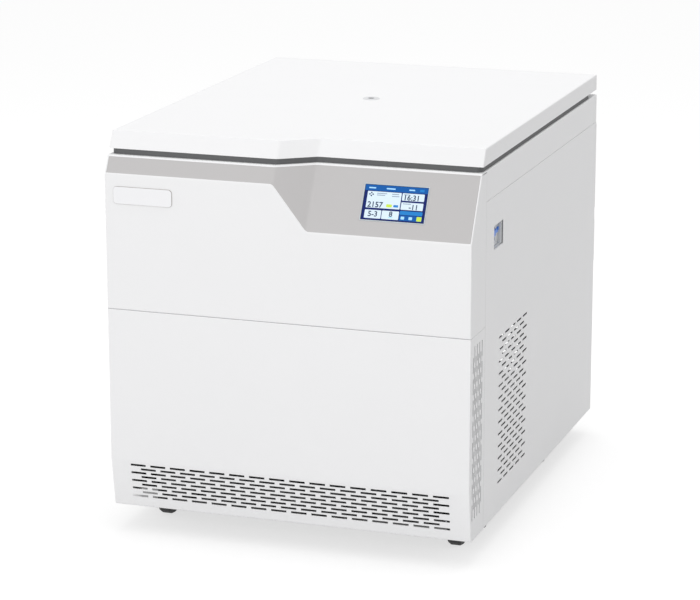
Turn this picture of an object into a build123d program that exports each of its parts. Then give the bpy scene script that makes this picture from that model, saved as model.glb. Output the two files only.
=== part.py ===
from build123d import *
import math
import os

# Floor-standing refrigerated centrifuge for blood bags, in millimetres.
# X runs to the right, Y to the back and Z up. The origin is on the floor, under the middle of the
# whole object. The operator stands in front, at negative Y. The cabinet is built round the rotor
# chamber: its width, depth and height follow from the bowl, the drive below it and the room beside.

# Gaps that several pieces share
fit_gap = 0.3
seat_gap = 0.2
slip_gap = 0.02
pin_clearance = 0.05
# Overshoot of a cutter, and how near an edge lies to the place where it is looked for
cut = 1.0
near = 1.0

# Rotor chamber
bowl_radius = 292.0
bowl_wall = 1.5
bowl_corner = 8.0
bowl_rim_width = 9.0
bowl_hole_radius = 60.0
foam_thickness = 40.0
foam_top_gap = 5.0
foam_relief_gap = 2.0
guard_thickness = 6.0
guard_top_gap = 12.4
mouth_lip = 2.0
evaporator_wall = 9.3
evaporator_rise = 25.0
evaporator_top_gap = 25.6
shelf_thickness = 3.0
shelf_hole_radius = 128.0
shelf_side_gap = 3.0
shelf_post_gap = 6.0
chamber_seal_width = 12.0
chamber_seal_setback = 7.0

# Room between the guard ring and the cabinet's faces
side_room = 35.3
front_room = 188.3
rear_room = 102.3

# Swing-out rotor
pivot_radius = 128.0
swing_gap = 10.9
swing_head_room = 98.6
bucket_count = 4
bucket_width = 144.0
bucket_thickness = 110.0
bucket_corner = 36.0
bucket_wall = 3.0
bucket_floor = 5.0
bucket_above_pivot = 22.0
bucket_floor_gap = 27.0
lug_length = 28.0
lug_gap = 1.0
lug_web = 0.5
arm_side_gap = 12.0
arm_width = 18.0
arm_past_pivot = 22.0
arm_chamfer = 50.0
arm_below_pivot = 28.0
neck_overlap = 8.0
neck_reach = 6.0
pin_radius = 8.0
pin_root = 4.0
hub_radius = 46.0
hub_bore_radius = 16.0
hub_chamfer = 10.0
hub_above_pivot = 34.0
hub_below_pivot = 32.0
nut_radius = 26.0
nut_height = 22.0
nut_lobes = 6
nut_scallop_radius = 9.0
nut_scallop_offset = 4.0
stud_radius = 8.0
stud_height = 16.0

# Drive
shaft_radius = 12.5
shaft_in_motor = 58.0
collar_radius = 24.0
collar_height = 8.0
motor_ground_gap = 36.0
motor_height = 265.0
motor_head_gap = 70.0
motor_radius = 95.0
motor_bell_radius = 88.0
motor_bell_height = 28.0
motor_flange_radius = 122.0
motor_flange_thickness = 12.0
motor_plate_width = 300.0
motor_plate_depth = 300.0
motor_plate_thickness = 10.0
motor_plate_rise = 75.0
mount_pitch = 240.0
mount_radius = 24.0
mount_waist_radius = 18.0
mount_height = 45.0
mount_end_thickness = 6.0
mount_waist_offset = 14.0
stand_width = 44.0
boot_flange_radius = 75.0
boot_flange_width = 20.0
boot_flange_thickness = 4.0
boot_top_radius = 26.0
boot_height = 60.0
boot_bore_gap = 1.0

# Chassis
frame_bottom_z = 86.0
frame_tube = 40.0
frame_wall = 3.0
frame_rail_width = 60.0
rail_from_side = 65.0
base_plate_thickness = 3.0
base_plate_inset = 5.0
base_front_setback = 10.0
post_width = 28.0
post_wall = 2.5
front_post_y = 128.0
rear_post_inset = 45.0

# Cabinet skin
skirt_height = 53.0
parting_height = 464.4
deck_band_height = 61.0
sheet = 1.2
deck_sheet = 2.0
deck_lip = 3.6
seam = 0.6
skin_flange = 14.0
front_wrap_depth = 98.0
plinth_bend_height = 156.3
plinth_lean = 15.5

# Inclined control panel with its bent step
incline_slope = 0.547
left_base_drop = 35.2
right_base_drop = 124.1
incline_tool_reach = 250.0
notch_left_x = -25.4
notch_right_x = 43.3
notch_bend_radius = 16.0
panel_thickness = 3.0
panel_side_rim = 3.0

# Touch screen and plain badge plate
screen_width = 127.4
screen_height = 71.4
screen_from_side = 164.0
screen_up_slope = 71.0
screen_depth = 8.0
screen_recess = 0.5
screen_frame_border = 1.8
screen_frame_proud = 0.4
badge_width = 124.0
badge_height = 35.0
badge_proud = 2.0
badge_edge = 0.5
badge_corner = 8.0
badge_from_side = 80.0
badge_below_deck = 76.2

# Rear covers and mains inlet
rear_cover_proud = 9.0
rear_cover_inset = 1.0
rear_cover_below_seam = 5.6
rear_upper_height = 188.0
rear_cover_spacing = 28.0
rear_lower_height = 93.0
rear_slot_length = 150.0
rear_slot_width = 7.0
rear_slot_pitch = 20.0
rear_slot_rows = 8
rear_slot_low = 110.0
rear_slot_offset_x = 130.0
inlet_gland_radius = 14.0
inlet_thread_radius = 11.0
inlet_thread_length = 18.0
inlet_bore_radius = 7.0
inlet_recess = 0.5
inlet_from_side = 75.0
inlet_z = 180.0

# Ventilation slots
slot_length = 32.5
slot_width = 4.4
plinth_slot_pitch = 42.3
plinth_slot_columns = 16
plinth_row_pitch = 8.41
plinth_slot_rows = 9
plinth_first_row_z = 76.2
wrap_slot_pitch = 42.3
wrap_slots_per_column = 8
wrap_column_pitch = 8.4
wrap_slot_columns = 8
wrap_first_column = 20.0
wrap_slot_low = 95.0
side_slot_pitch = 44.0
side_slot_length = 31.6
side_slot_columns = 9
side_slot_row_pitch = 25.0
side_slot_rows = 13
side_slot_first_y = 216.0
side_slot_low = 117.0

# Lid and the rubber frame below it
lid_gap = 11.1
lid_height = 33.3
lid_rear_inset = 3.0
lid_sheet = 1.6
lid_edge_radius = 2.5
liner_thickness = 3.0
plug_gap = 6.0
plug_depth = 19.7
armour_thickness = 6.0
armour_side_inset = 55.0
armour_end_inset = 135.0
gasket_width = 22.0
gasket_front_inset = 8.0
gasket_side_inset = 4.0
gasket_rear_inset = 50.0
gasket_corner = 14.0

# Inspection port over the rotor axis
port_flange_radius = 18.0
port_flange_thickness = 1.2
port_flange_bevel = 1.0
port_tube_radius = 9.0
port_bore_radius = 5.0
port_ledge = 2.0
port_window_thickness = 3.0

# Casters and levelling feet
wheel_radius = 31.5
wheel_width = 27.0
wheel_tread_width = 17.0
wheel_shoulder = 3.0
axle_radius = 4.0
axle_root = 1.0
caster_trail = 22.0
front_wheel_y = 142.0
rear_wheel_inset = 128.0
fork_gap = 1.7
fork_sheet = 2.5
fork_top_z = 72.0
fork_top_thickness = 4.0
fork_disc_radius = 24.0
fork_front_reach = 14.0
fork_rear_reach = 22.0
fork_bridge_reach = 20.0
leg_front_reach = 12.0
leg_front_rise = 4.0
leg_rear_reach = 9.0
leg_rear_rise = 2.0
leg_tip_reach = 5.0
leg_tip_drop = 8.0
king_pin_radius = 8.0
king_pin_end_gap = 1.0
race_radius = 27.0
caster_plate_size = 70.0
caster_plate_thickness = 3.5
foot_pad_radius = 24.0
foot_pad_height = 14.0
foot_ball_radius = 12.0
foot_stud_radius = 8.0
foot_nut_radius = 13.0
foot_nut_height = 8.0
foot_offset_y = 120.0

# Cooling circuit
compressor_y = 300.0
compressor_plate_gap = 5.0
compressor_radius = 82.0
compressor_height = 230.0
compressor_plate_thickness = 3.0
compressor_foot_height = 18.0
compressor_foot_radius = 15.0
compressor_foot_spread = 62.0
shell_base_bevel = 20.0
shell_base_rise = 18.0
shell_shoulder_bevel = 22.0
shell_shoulder_drop = 42.0
shell_crown_bevel = 50.0
shell_crown_drop = 14.0
condenser_side_room = 115.0
condenser_top_gap = 26.2
condenser_depth = 44.0
condenser_front = 52.0
condenser_fins = 24
fin_thickness = 2.5
shroud_depth = 60.0
shroud_sheet = 2.0
shroud_back_sheet = 3.0
bridge_sheet = 3.0
bridge_width = 20.0
bridge_leg_sheet = 4.0
bridge_side_gap = 12.0
bridge_hole_gap = 2.0
fan_bridge_gap = 6.0
fan_radius = 120.0
fan_tip_gap = 4.0
fan_blade_count = 5
fan_blade_width = 52.8
fan_blade_root = 4.0
fan_blade_sheet = 3.0
fan_blade_pitch = 32.0
fan_hub_radius = 30.0
fan_hub_length = 30.0
fan_motor_radius = 36.0
fan_motor_length = 50.0
fan_motor_bore = 20.0
fan_shaft_radius = 4.0
fan_shaft_grip = 18.0
drier_radius = 16.0
drier_neck_radius = 7.0
drier_taper = 12.0
drier_length = 90.0
drier_from_side = 85.0
drier_y = 178.0
drier_rise = 41.0
pipe_radius = 5.0
pipe_bend = 14.0
thin_pipe_bend = 9.0
pipe_inset = 20.0
pipe_side_offset = 10.0
capillary_drop = 60.0
capillary_rise = 30.0
capillary_offset = 40.0
suction_offset = 26.0
suction_drop = 150.0

# Electrics
bulkhead_rise = 11.8
bulkhead_sheet = 2.0
bulkhead_top_gap = 40.0
box_rise = 30.0
inverter_width = 190.0
inverter_depth = 110.0
inverter_top_gap = 17.0
inverter_from_side = 190.0
inverter_fins = 9
inverter_fin_sheet = 4.0
inverter_fin_depth = 20.0
control_box_width = 200.0
control_box_height = 130.0
control_box_depth = 60.0
control_box_corner = 6.0
control_box_from_side = 255.0
bracket_sheet = 2.0
bracket_height = 60.0
bracket_foot = 22.0
breaker_width = 63.0
breaker_height = 45.0
breaker_depth = 62.0
breaker_body_height = 80.0
breaker_nose_depth = 20.0
breaker_window_gap = 1.2
breaker_y = 187.0
breaker_below_deck = 143.6
breaker_poles_width = 36.0
toggle_opening = 28.0
handle_width = 34.0
handle_radius = 9.0
handle_bulge = 2.0
handle_reach = 9.0
handle_tip_gap = 1.0
handle_thickness = 8.0
handle_travel = 70.0
handle_pin_radius = 2.0
button_radius = 3.5
button_travel = 1.5
button_rise = 8.0
button_proud = 3.0
button_hole_depth = 14.0
button_end_gap = 0.5

# Lid hinges, torsion bar and locks
hinge_from_side = 145.0
hinge_inset = 8.0
hinge_knuckle_radius = 5.2
knuckle_clearance = 1.0
hinge_pin_radius = 2.75
hinge_pin_head = 2.0
hinge_pin_head_radius = 4.2
hinge_leaf_depth = 34.0
hinge_leaf_thickness = 2.0
hinge_length = 90.0
hinge_middle = 30.0
torsion_bar_radius = 2.5
torsion_bar_gap = 15.0
torsion_clamp_length = 20.0
lock_x = 180.0
lock_y = 124.0
lock_sheet = 2.0
lock_flange_width = 60.0
lock_far_side = 36.0
lock_near_side = 6.0
lock_body_width = 28.0
lock_body_height = 23.0
cheek_gap = 1.0
cheek_drop = 12.0
striker_width = 30.0
striker_thickness = 4.0
striker_below_deck = 37.6
striker_foot_reach = 12.0
striker_foot_thickness = 2.0
striker_window_width = 14.0
striker_window_height = 15.0
striker_window_rise = 6.0
striker_slot_side_gap = 3.0
striker_slot_gap = 4.5
hook_width = 9.0
hook_thickness = 8.0
hook_length = 42.0
hook_nose_reach = 12.0
hook_nose_height = 6.0
hook_setback = 16.0
hook_below_deck = 60.6
hook_pivot_radius = 3.0
hook_hub_radius = 7.0

# Places and sizes that follow from the ones above
mouth_radius = bowl_radius - mouth_lip
plug_radius = mouth_radius - plug_gap
chamber_seal_inner_radius = mouth_radius + chamber_seal_setback
bowl_outer_radius = bowl_radius + bowl_wall
evaporator_radius = bowl_outer_radius + seat_gap + evaporator_wall
jacket_outer_radius = bowl_outer_radius + foam_thickness
guard_radius = jacket_outer_radius + seat_gap + guard_thickness
half_width = guard_radius + side_room
cabinet_width = 2 * half_width
cabinet_depth = front_room + 2 * guard_radius + rear_room
front_y = badge_proud - (badge_proud + cabinet_depth + rear_cover_proud) / 2
rear_y = front_y + cabinet_depth
axis_y = front_y + front_room + guard_radius
lid_rear_y = rear_y - lid_rear_inset
hinge_y = rear_y - hinge_inset
rear_post_y = cabinet_depth - rear_post_inset
rear_wheel_y = cabinet_depth - rear_wheel_inset
frame_top = frame_bottom_z + frame_tube
floor_plate_top = frame_top + base_plate_thickness
motor_low_z = floor_plate_top + motor_ground_gap
motor_high_z = motor_low_z + motor_height
motor_plate_z = motor_low_z + motor_plate_rise
shaft_bottom_z = motor_high_z - shaft_in_motor
bowl_floor_z = motor_high_z + motor_head_gap
shelf_top = bowl_floor_z - bowl_wall - fit_gap - foam_thickness
shelf_bottom = shelf_top - shelf_thickness
bucket_tip_reach = bucket_width / 2 - bucket_floor
bucket_below_pivot = math.sqrt((bowl_radius - swing_gap) ** 2 - bucket_tip_reach ** 2) - pivot_radius
swing_height = bowl_floor_z + bucket_floor_gap + bucket_below_pivot
hub_top_z = swing_height + hub_above_pivot
hub_base_z = swing_height - hub_below_pivot
stud_top_z = hub_top_z + stud_height
arm_face = bucket_width / 2 + arm_side_gap
arm_reach = pivot_radius + arm_past_pivot
deck_underside = swing_height + swing_head_room
deck_height = deck_underside + deck_sheet
side_seam_height = deck_height - deck_band_height
lip_bottom = deck_height - deck_lip
lid_bottom = deck_height + lid_gap
lid_top = lid_bottom + lid_height
hinge_z = deck_height + lid_gap / 2
left_base_height = deck_height - left_base_drop
right_base_height = deck_height - right_base_drop
incline_angle = math.atan(incline_slope)
screen_x = half_width - screen_from_side
badge_x = badge_from_side - half_width
badge_z = deck_height - badge_below_deck
rear_upper_high = side_seam_height - rear_cover_below_seam
rear_upper_low = rear_upper_high - rear_upper_height
rear_lower_high = rear_upper_low - rear_cover_spacing
rear_lower_low = rear_lower_high - rear_lower_height
inlet_x = half_width - inlet_from_side
evaporator_low = bowl_floor_z + evaporator_rise
evaporator_high = deck_underside - evaporator_top_gap
guard_top = deck_underside - guard_top_gap
frame_rail_x = half_width - rail_from_side
post_x = half_width - sheet - fit_gap - post_width / 2
bulkhead_front = front_y + front_post_y + post_width / 2
bulkhead_low_z = shelf_top + bulkhead_rise
box_low_z = bulkhead_low_z + box_rise
inverter_x = inverter_from_side - half_width
control_box_x = half_width - control_box_from_side
compressor_reach = compressor_foot_spread + compressor_foot_radius
compressor_x = -motor_plate_width / 2 - compressor_plate_gap - compressor_reach
condenser_width = cabinet_width - 2 * condenser_side_room
condenser_height = shelf_bottom - condenser_top_gap - floor_plate_top
drier_x = drier_from_side - half_width
drier_low_z = floor_plate_top + drier_rise
hinge_x = half_width - hinge_from_side
torsion_bar_length = 2 * (hinge_x - hinge_length / 2 - torsion_bar_gap)
hook_pivot_z = deck_height - hook_below_deck
lock_low_z = hook_pivot_z - cheek_drop - lock_body_height
inverter_height = lock_low_z - inverter_top_gap - box_low_z
striker_low_z = deck_height - striker_below_deck
breaker_z = deck_height - breaker_below_deck
breaker_face_x = half_width - handle_reach
breaker_back_x = breaker_face_x - breaker_depth
breaker_centre_y = front_y + breaker_y
poles_y = breaker_centre_y - breaker_width / 2 + breaker_poles_width / 2
module_y = breaker_centre_y + breaker_poles_width / 2
handle_axis_x = breaker_face_x - handle_radius + handle_bulge
button_z = breaker_z + button_rise
far = 2000.0

written = []


def write(name, shape):
    """Store one sub-part as its own file."""
    export_step(shape, f"parts/{name}.step")
    written.append(name)


def together(*shapes):
    """Several separate solids as one sub-part."""
    return Compound(children=[solid for shape in shapes for solid in shape.solids()])


def block(x0, x1, y0, y1, z0, z1):
    """Box between two opposite corners."""
    middle = Pos((x0 + x1) / 2, (y0 + y1) / 2, (z0 + z1) / 2)
    return middle * Box(x1 - x0, y1 - y0, z1 - z0)


def upright(x, y, z0, z1, radius):
    """Vertical cylinder from z0 to z1."""
    return Pos(x, y, (z0 + z1) / 2) * Cylinder(radius, z1 - z0)


def rod_x(x0, x1, y, z, radius):
    """Cylinder along X."""
    return Pos((x0 + x1) / 2, y, z) * Rot(0, 90, 0) * Cylinder(radius, x1 - x0)


def rod_y(x, y0, y1, z, radius):
    """Cylinder along Y."""
    return Pos(x, (y0 + y1) / 2, z) * Rot(90, 0, 0) * Cylinder(radius, y1 - y0)


def turned(points, x=0.0, y=0.0):
    """Solid of revolution about the vertical line through x, y, from radius and height pairs."""
    profile = Plane.XZ * make_face(Polyline(*points, close=True))
    return Pos(x, y, 0) * revolve(profile, Axis.Z)


def prism_z(points, z0, z1):
    """Upright prism over a plan outline."""
    return Pos(0, 0, z0) * extrude(make_face(Polyline(*points, close=True)), z1 - z0, dir=(0, 0, 1))


def prism_x(points, x0, x1):
    """Prism along X over an outline of Y and Z pairs."""
    outline = Plane.YZ * make_face(Polyline(*points, close=True))
    return Pos(x0, 0, 0) * extrude(outline, x1 - x0, dir=(1, 0, 0))


def incline_outline(y_shift):
    """Plan face of everything in front of the stepped incline, cut at the right base height."""
    right_y = front_y + y_shift
    left_y = right_y - (left_base_height - right_base_height) * incline_slope
    bend = FilletPolyline(
        (-far, left_y), (notch_left_x, left_y), (notch_right_x, right_y), (far, right_y),
        radius=notch_bend_radius,
    )
    back = Polyline((far, right_y), (far, -far), (-far, -far), (-far, left_y))
    return make_face(bend + back)


def before_incline(shift=0.0):
    """Space in front of the incline surface, with the surface moved back by shift."""
    low = right_base_height - incline_tool_reach
    outline = Pos(0, 0, low) * incline_outline(shift - incline_tool_reach * incline_slope)
    run = 2 * incline_tool_reach
    return extrude(outline, run / math.cos(incline_angle), dir=(0, incline_slope, 1))


def before_line(height, shift, z0, z1):
    """Upright prism in front of the incline line as it lies at one height."""
    outline = incline_outline(shift + (height - right_base_height) * incline_slope)
    return extrude(Pos(0, 0, z0) * outline, z1 - z0, dir=(0, 0, 1))


def incline_plane():
    """Plane of the right incline at the middle of the screen."""
    rise = screen_up_slope * math.cos(incline_angle)
    centre = (screen_x, front_y + rise * incline_slope, right_base_height + rise)
    outward = (0, -math.cos(incline_angle), math.sin(incline_angle))
    return Plane(origin=centre, x_dir=(1, 0, 0), z_dir=outward)


def plinth_slots():
    """Cutters for the staggered slots across the leaning plinth."""
    cutters = []
    for row in range(plinth_slot_rows):
        z = plinth_first_row_z + row * plinth_row_pitch
        count = plinth_slot_columns - row % 2
        first = -(count - 1) / 2 * plinth_slot_pitch
        for column in range(count):
            place = Pos(first + column * plinth_slot_pitch, front_y + plinth_lean / 2, z)
            cutters.append(place * Box(slot_length, 3 * plinth_lean, slot_width))
    return cutters


def wrap_slots(side):
    """Cutters for the upright slots in one side return of the lower front cover."""
    cutters = []
    for column in range(wrap_slot_columns):
        y = front_y + wrap_first_column + column * wrap_column_pitch
        low = wrap_slot_low + (column % 2) * wrap_slot_pitch / 2
        for step in range(wrap_slots_per_column):
            z = low + step * wrap_slot_pitch + slot_length / 2
            cutters.append(Pos(side * half_width, y, z) * Box(4 * sheet, slot_width, slot_length))
    return cutters


def side_slots(side):
    """Cutters for the staggered level slots in a side panel."""
    cutters = []
    for column in range(side_slot_columns):
        y = front_y + side_slot_first_y + column * side_slot_pitch / 2
        rows = side_slot_rows - column % 2
        low = side_slot_low + (column % 2) * side_slot_row_pitch / 2
        for row in range(rows):
            z = low + row * side_slot_row_pitch
            cutters.append(Pos(side * half_width, y, z) * Box(4 * sheet, side_slot_length, slot_width))
    return cutters


def make_front_lower_cover():
    """Removable lower front cover: plain front, leaning slotted plinth and slotted side returns."""
    top = parting_height - seam / 2
    back = front_y + front_wrap_depth
    lean_y = front_y + plinth_lean
    outer = prism_x(
        [(front_y, top), (front_y, plinth_bend_height), (lean_y, skirt_height),
         (back, skirt_height), (back, top)],
        -half_width, half_width,
    )
    inner = prism_x(
        [(front_y + sheet, far), (front_y + sheet, plinth_bend_height), (lean_y + sheet, skirt_height),
         (lean_y + sheet, -far), (far, -far), (far, far)],
        -half_width + sheet, half_width - sheet,
    )
    inside = half_width - sheet
    top_lip = block(-inside, inside, front_y + sheet, front_y + skin_flange, top - sheet, top)
    bottom_lip = block(-inside, inside, lean_y + sheet / 2, lean_y + skin_flange,
                       skirt_height, skirt_height + sheet)
    cover = outer - inner + top_lip + bottom_lip
    return cover - plinth_slots() - wrap_slots(-1) - wrap_slots(1)


def make_front_upper_cover():
    """Upper front cover, cut along the incline, with a rim beside the control panel."""
    low = parting_height + seam / 2
    high = lip_bottom - seat_gap
    back = front_y + front_wrap_depth
    inside = half_width - sheet
    rim_inside = half_width - panel_side_rim
    outer = block(-half_width, half_width, front_y, back, low, high)
    inner = block(-inside, inside, front_y + sheet, far, 0, far)
    lip = block(-inside, inside, front_y + sheet, front_y + skin_flange, low, low + sheet)
    rim = outer - block(-rim_inside, rim_inside, -far, far, 0, far)
    rim = rim & (before_incline(panel_thickness) - before_incline())
    return outer - inner + lip + rim - before_incline()


def make_control_panel():
    """Stepped grey control panel, seated behind the edge of the upper front cover."""
    reach = half_width - panel_side_rim - fit_gap
    skin = before_incline(panel_thickness) - before_incline()
    room = block(-reach, reach, front_y + sheet + seat_gap, far, right_base_height / 2,
                 lip_bottom - seat_gap)
    border = 2 * (screen_frame_border + seat_gap)
    opening = Box(screen_width + border, screen_height + border, 8 * panel_thickness)
    return (skin & room) - incline_plane() * opening


def make_screen_frame():
    """Dark frame around the display, through the control panel."""
    border = 2 * screen_frame_border
    height = screen_depth + screen_frame_proud
    ring = Box(screen_width + border, screen_height + border, height)
    ring -= Box(screen_width, screen_height, 2 * height)
    return incline_plane() * Pos(0, 0, screen_frame_proud - height / 2) * ring


def make_touch_screen():
    """Display glass with the display module behind it."""
    glass_depth = screen_depth - screen_recess
    width = screen_width - 2 * seat_gap
    height = screen_height - 2 * seat_gap
    glass = Pos(0, 0, -screen_recess - glass_depth / 2) * Box(width, height, glass_depth)
    module = Pos(0, 0, -3 * screen_depth / 2) * Box(width, height, screen_depth)
    return incline_plane() * (glass + module)


def make_badge_plate():
    """Plain raised plate with rounded corners on the upper front cover."""
    face = Plane(origin=(badge_x, front_y, badge_z), x_dir=(1, 0, 0), z_dir=(0, -1, 0))
    plate = extrude(RectangleRounded(badge_width, badge_height, badge_corner), badge_proud)
    plate = chamfer(plate.faces().sort_by(Axis.Z)[-1].edges(), badge_edge)
    return face * plate


def make_side_panel(side):
    """Side panel with an inward flange at the bottom; the right one has slots and a breaker window."""
    front = front_y + front_wrap_depth + seam
    outside = side * half_width
    inside = side * (half_width - sheet)
    top = side_seam_height - seam / 2
    low_x, high_x = sorted((inside, outside))
    panel = block(low_x, high_x, front, rear_y, skirt_height, top)
    low_x, high_x = sorted((outside, side * (half_width - skin_flange)))
    panel += block(low_x, high_x, front, rear_y - sheet - seat_gap, skirt_height, skirt_height + sheet)
    if side > 0:
        window_y = breaker_width / 2 + breaker_window_gap
        window_z = breaker_height / 2 + breaker_window_gap
        centre = front_y + breaker_y
        panel -= block(0, far, centre - window_y, centre + window_y,
                       breaker_z - window_z, breaker_z + window_z)
        panel -= side_slots(side)
    return panel


def make_rear_panel():
    """Rear panel between the side panels, with two fields of long slots and the cable hole."""
    reach = half_width - sheet - seat_gap
    panel = block(-reach, reach, rear_y - sheet, rear_y, skirt_height, side_seam_height - seam / 2)
    cutters = []
    for side in (-1, 1):
        for row in range(rear_slot_rows):
            place = Pos(side * rear_slot_offset_x, rear_y, rear_slot_low + row * rear_slot_pitch)
            cutters.append(place * Box(rear_slot_length, 4 * sheet, rear_slot_width))
    cutters.append(rod_y(inlet_x, rear_y - far, rear_y + far, inlet_z, inlet_thread_radius))
    return panel - cutters


def make_rear_cover(low, high):
    """Shallow tray that stands proud of the rear panel."""
    reach = half_width - rear_cover_inset
    back = rear_y + rear_cover_proud
    outer = block(-reach, reach, rear_y, back, low, high)
    inner = block(-reach + sheet, reach - sheet, rear_y - sheet, back - sheet, low + sheet, high - sheet)
    return outer - inner


def make_inlet_gland():
    """Screwed gland for the mains cable in the rear panel."""
    back = rear_y + rear_cover_proud - inlet_recess
    gland = rod_y(inlet_x, rear_y, back, inlet_z, inlet_gland_radius)
    gland += rod_y(inlet_x, rear_y - inlet_thread_length, rear_y, inlet_z, inlet_thread_radius - fit_gap)
    return gland - rod_y(inlet_x, -far, far, inlet_z, inlet_bore_radius)


def striker_y():
    """Centre of the two strikers in Y."""
    return front_y + lock_y


def make_deck():
    """Top tray of the cabinet with the chamber mouth, striker slots and side bands."""
    wrap = front_y + front_wrap_depth + seam
    low = side_seam_height + seam / 2
    inside = half_width - sheet
    top = block(-half_width, half_width, front_y, rear_y, deck_underside, deck_height)
    top += block(-half_width, half_width, front_y, 0, lip_bottom, deck_underside) & before_incline(sheet)
    top -= before_incline()
    bands = block(-half_width, half_width, wrap, rear_y, low, deck_underside)
    bands -= block(-inside, inside, -far, rear_y - sheet, 0, deck_underside)
    deck = top + bands - upright(0, axis_y, deck_underside - cut, deck_height + cut, mouth_radius)
    for side in (-1, 1):
        slot_x = striker_width / 2 + striker_slot_side_gap
        slot_y = striker_thickness / 2 + striker_slot_gap
        deck -= block(side * lock_x - slot_x, side * lock_x + slot_x,
                      striker_y() - slot_y, striker_y() + slot_y, deck_underside - cut, deck_height + cut)
    return deck


def make_deck_gasket():
    """Dark rubber frame in the gap below the lid, ending short of the hinges."""
    edge = half_width - gasket_side_inset
    back = rear_y - gasket_rear_inset
    top = lid_bottom - fit_gap
    outer = block(-edge, edge, front_y, back, deck_height, top)
    outer -= before_line(deck_height, gasket_front_inset, 0, far)
    corners = [e for e in outer.edges().filter_by(Axis.Z) if abs(abs(e.center().X) - edge) < near]
    outer = fillet(corners, gasket_corner)
    inner = block(-edge + gasket_width, edge - gasket_width, front_y, back - gasket_width, 0, far)
    inner -= before_line(deck_height, gasket_front_inset + gasket_width, -cut, far + cut)
    return outer - inner


def make_lid_shell():
    """Outer lid pan with an inclined stepped front, open below."""
    outer = block(-half_width, half_width, front_y, lid_rear_y, lid_bottom, lid_top)
    outer -= before_incline()
    rims = outer.faces().sort_by(Axis.Z)[-1].edges()
    sides = [
        e for e in outer.edges()
        if abs(abs(e.center().X) - half_width) < near and e.bounding_box().size.Z > lid_height / 2
    ]
    outer = fillet(list(rims) + sides, lid_edge_radius)
    inside = half_width - lid_sheet
    inner = block(-inside, inside, front_y, lid_rear_y - lid_sheet, 0, lid_top - lid_sheet)
    inner -= before_incline(lid_sheet)
    return outer - inner - upright(0, axis_y, 0, far, port_tube_radius + seat_gap)


def make_lid_liner():
    """Inner lid plate with the round plug that closes the chamber mouth."""
    reach = half_width - lid_sheet - fit_gap
    back = lid_rear_y - lid_sheet - fit_gap
    plate = block(-reach, reach, front_y, back, lid_bottom, lid_bottom + liner_thickness)
    plate -= before_incline(lid_sheet + 2 * fit_gap)
    plug_low = lid_bottom - plug_depth
    bevel = plug_depth / 2
    plug = turned(
        [(0, plug_low), (plug_radius - bevel, plug_low), (plug_radius, plug_low + bevel),
         (plug_radius, lid_bottom + cut), (0, lid_bottom + cut)],
        0, axis_y,
    )
    return plate + plug - upright(0, axis_y, 0, far, port_tube_radius + seat_gap)


def make_lid_armour():
    """Steel plate inside the lid above the chamber."""
    low = lid_bottom + liner_thickness
    half_x = half_width - armour_side_inset
    half_y = cabinet_depth / 2 - armour_end_inset
    plate = block(-half_x, half_x, axis_y - half_y, axis_y + half_y, low, low + armour_thickness)
    return plate - upright(0, axis_y, 0, far, port_tube_radius + seat_gap)


def make_chamber_seal():
    """Rubber ring under the lid around the chamber mouth."""
    outer = upright(0, axis_y, deck_height + fit_gap, lid_bottom,
                    chamber_seal_inner_radius + chamber_seal_width)
    return outer - upright(0, axis_y, 0, far, chamber_seal_inner_radius)


def make_port_ring():
    """Flanged tube of the inspection port, through the lid on the rotor axis."""
    low = lid_bottom - plug_depth
    seat = port_bore_radius + port_ledge
    ledge = lid_top - port_window_thickness
    top = lid_top + port_flange_thickness
    return turned(
        [(port_bore_radius, low), (port_tube_radius, low), (port_tube_radius, lid_top),
         (port_flange_radius, lid_top), (port_flange_radius - port_flange_bevel, top), (seat, top),
         (seat, ledge), (port_bore_radius, ledge)],
        0, axis_y,
    )


def make_port_window():
    """Dark glass disc in the inspection port."""
    ledge = lid_top - port_window_thickness
    radius = port_bore_radius + port_ledge - seat_gap / 2
    return upright(0, axis_y, ledge, ledge + port_window_thickness, radius)


def make_hinge_bases():
    """Two fixed hinge leaves on the deck, each with a knuckle at both ends."""
    gap = fit_gap
    half = hinge_length / 2
    middle = hinge_middle / 2
    clear = hinge_knuckle_radius + knuckle_clearance
    bases = []
    for side in (-1, 1):
        x = side * hinge_x
        leaf = block(x - half, x + half, hinge_y - hinge_leaf_depth, hinge_y,
                     deck_height, deck_height + hinge_leaf_thickness)
        leaf -= block(x - middle - gap, x + middle + gap, hinge_y - clear, far, 0, far)
        for end in (-1, 1):
            x0, x1 = sorted((x + end * (middle + gap), x + end * half))
            leaf += rod_x(x0, x1, hinge_y, hinge_z, hinge_knuckle_radius)
        leaf -= rod_x(x - half - cut, x + half + cut, hinge_y, hinge_z, hinge_pin_radius)
        bases.append(leaf)
    return Compound(children=bases)


def make_hinge_pins():
    """Two hinge pins with a small head at each outer end."""
    pins = []
    for side in (-1, 1):
        x = side * hinge_x
        half = hinge_length / 2
        pin = rod_x(x - half, x + half, hinge_y, hinge_z, hinge_pin_radius)
        head0, head1 = sorted((x + side * half, x + side * (half + hinge_pin_head)))
        pins.append(pin + rod_x(head0, head1, hinge_y, hinge_z, hinge_pin_head_radius))
    return Compound(children=pins)


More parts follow.
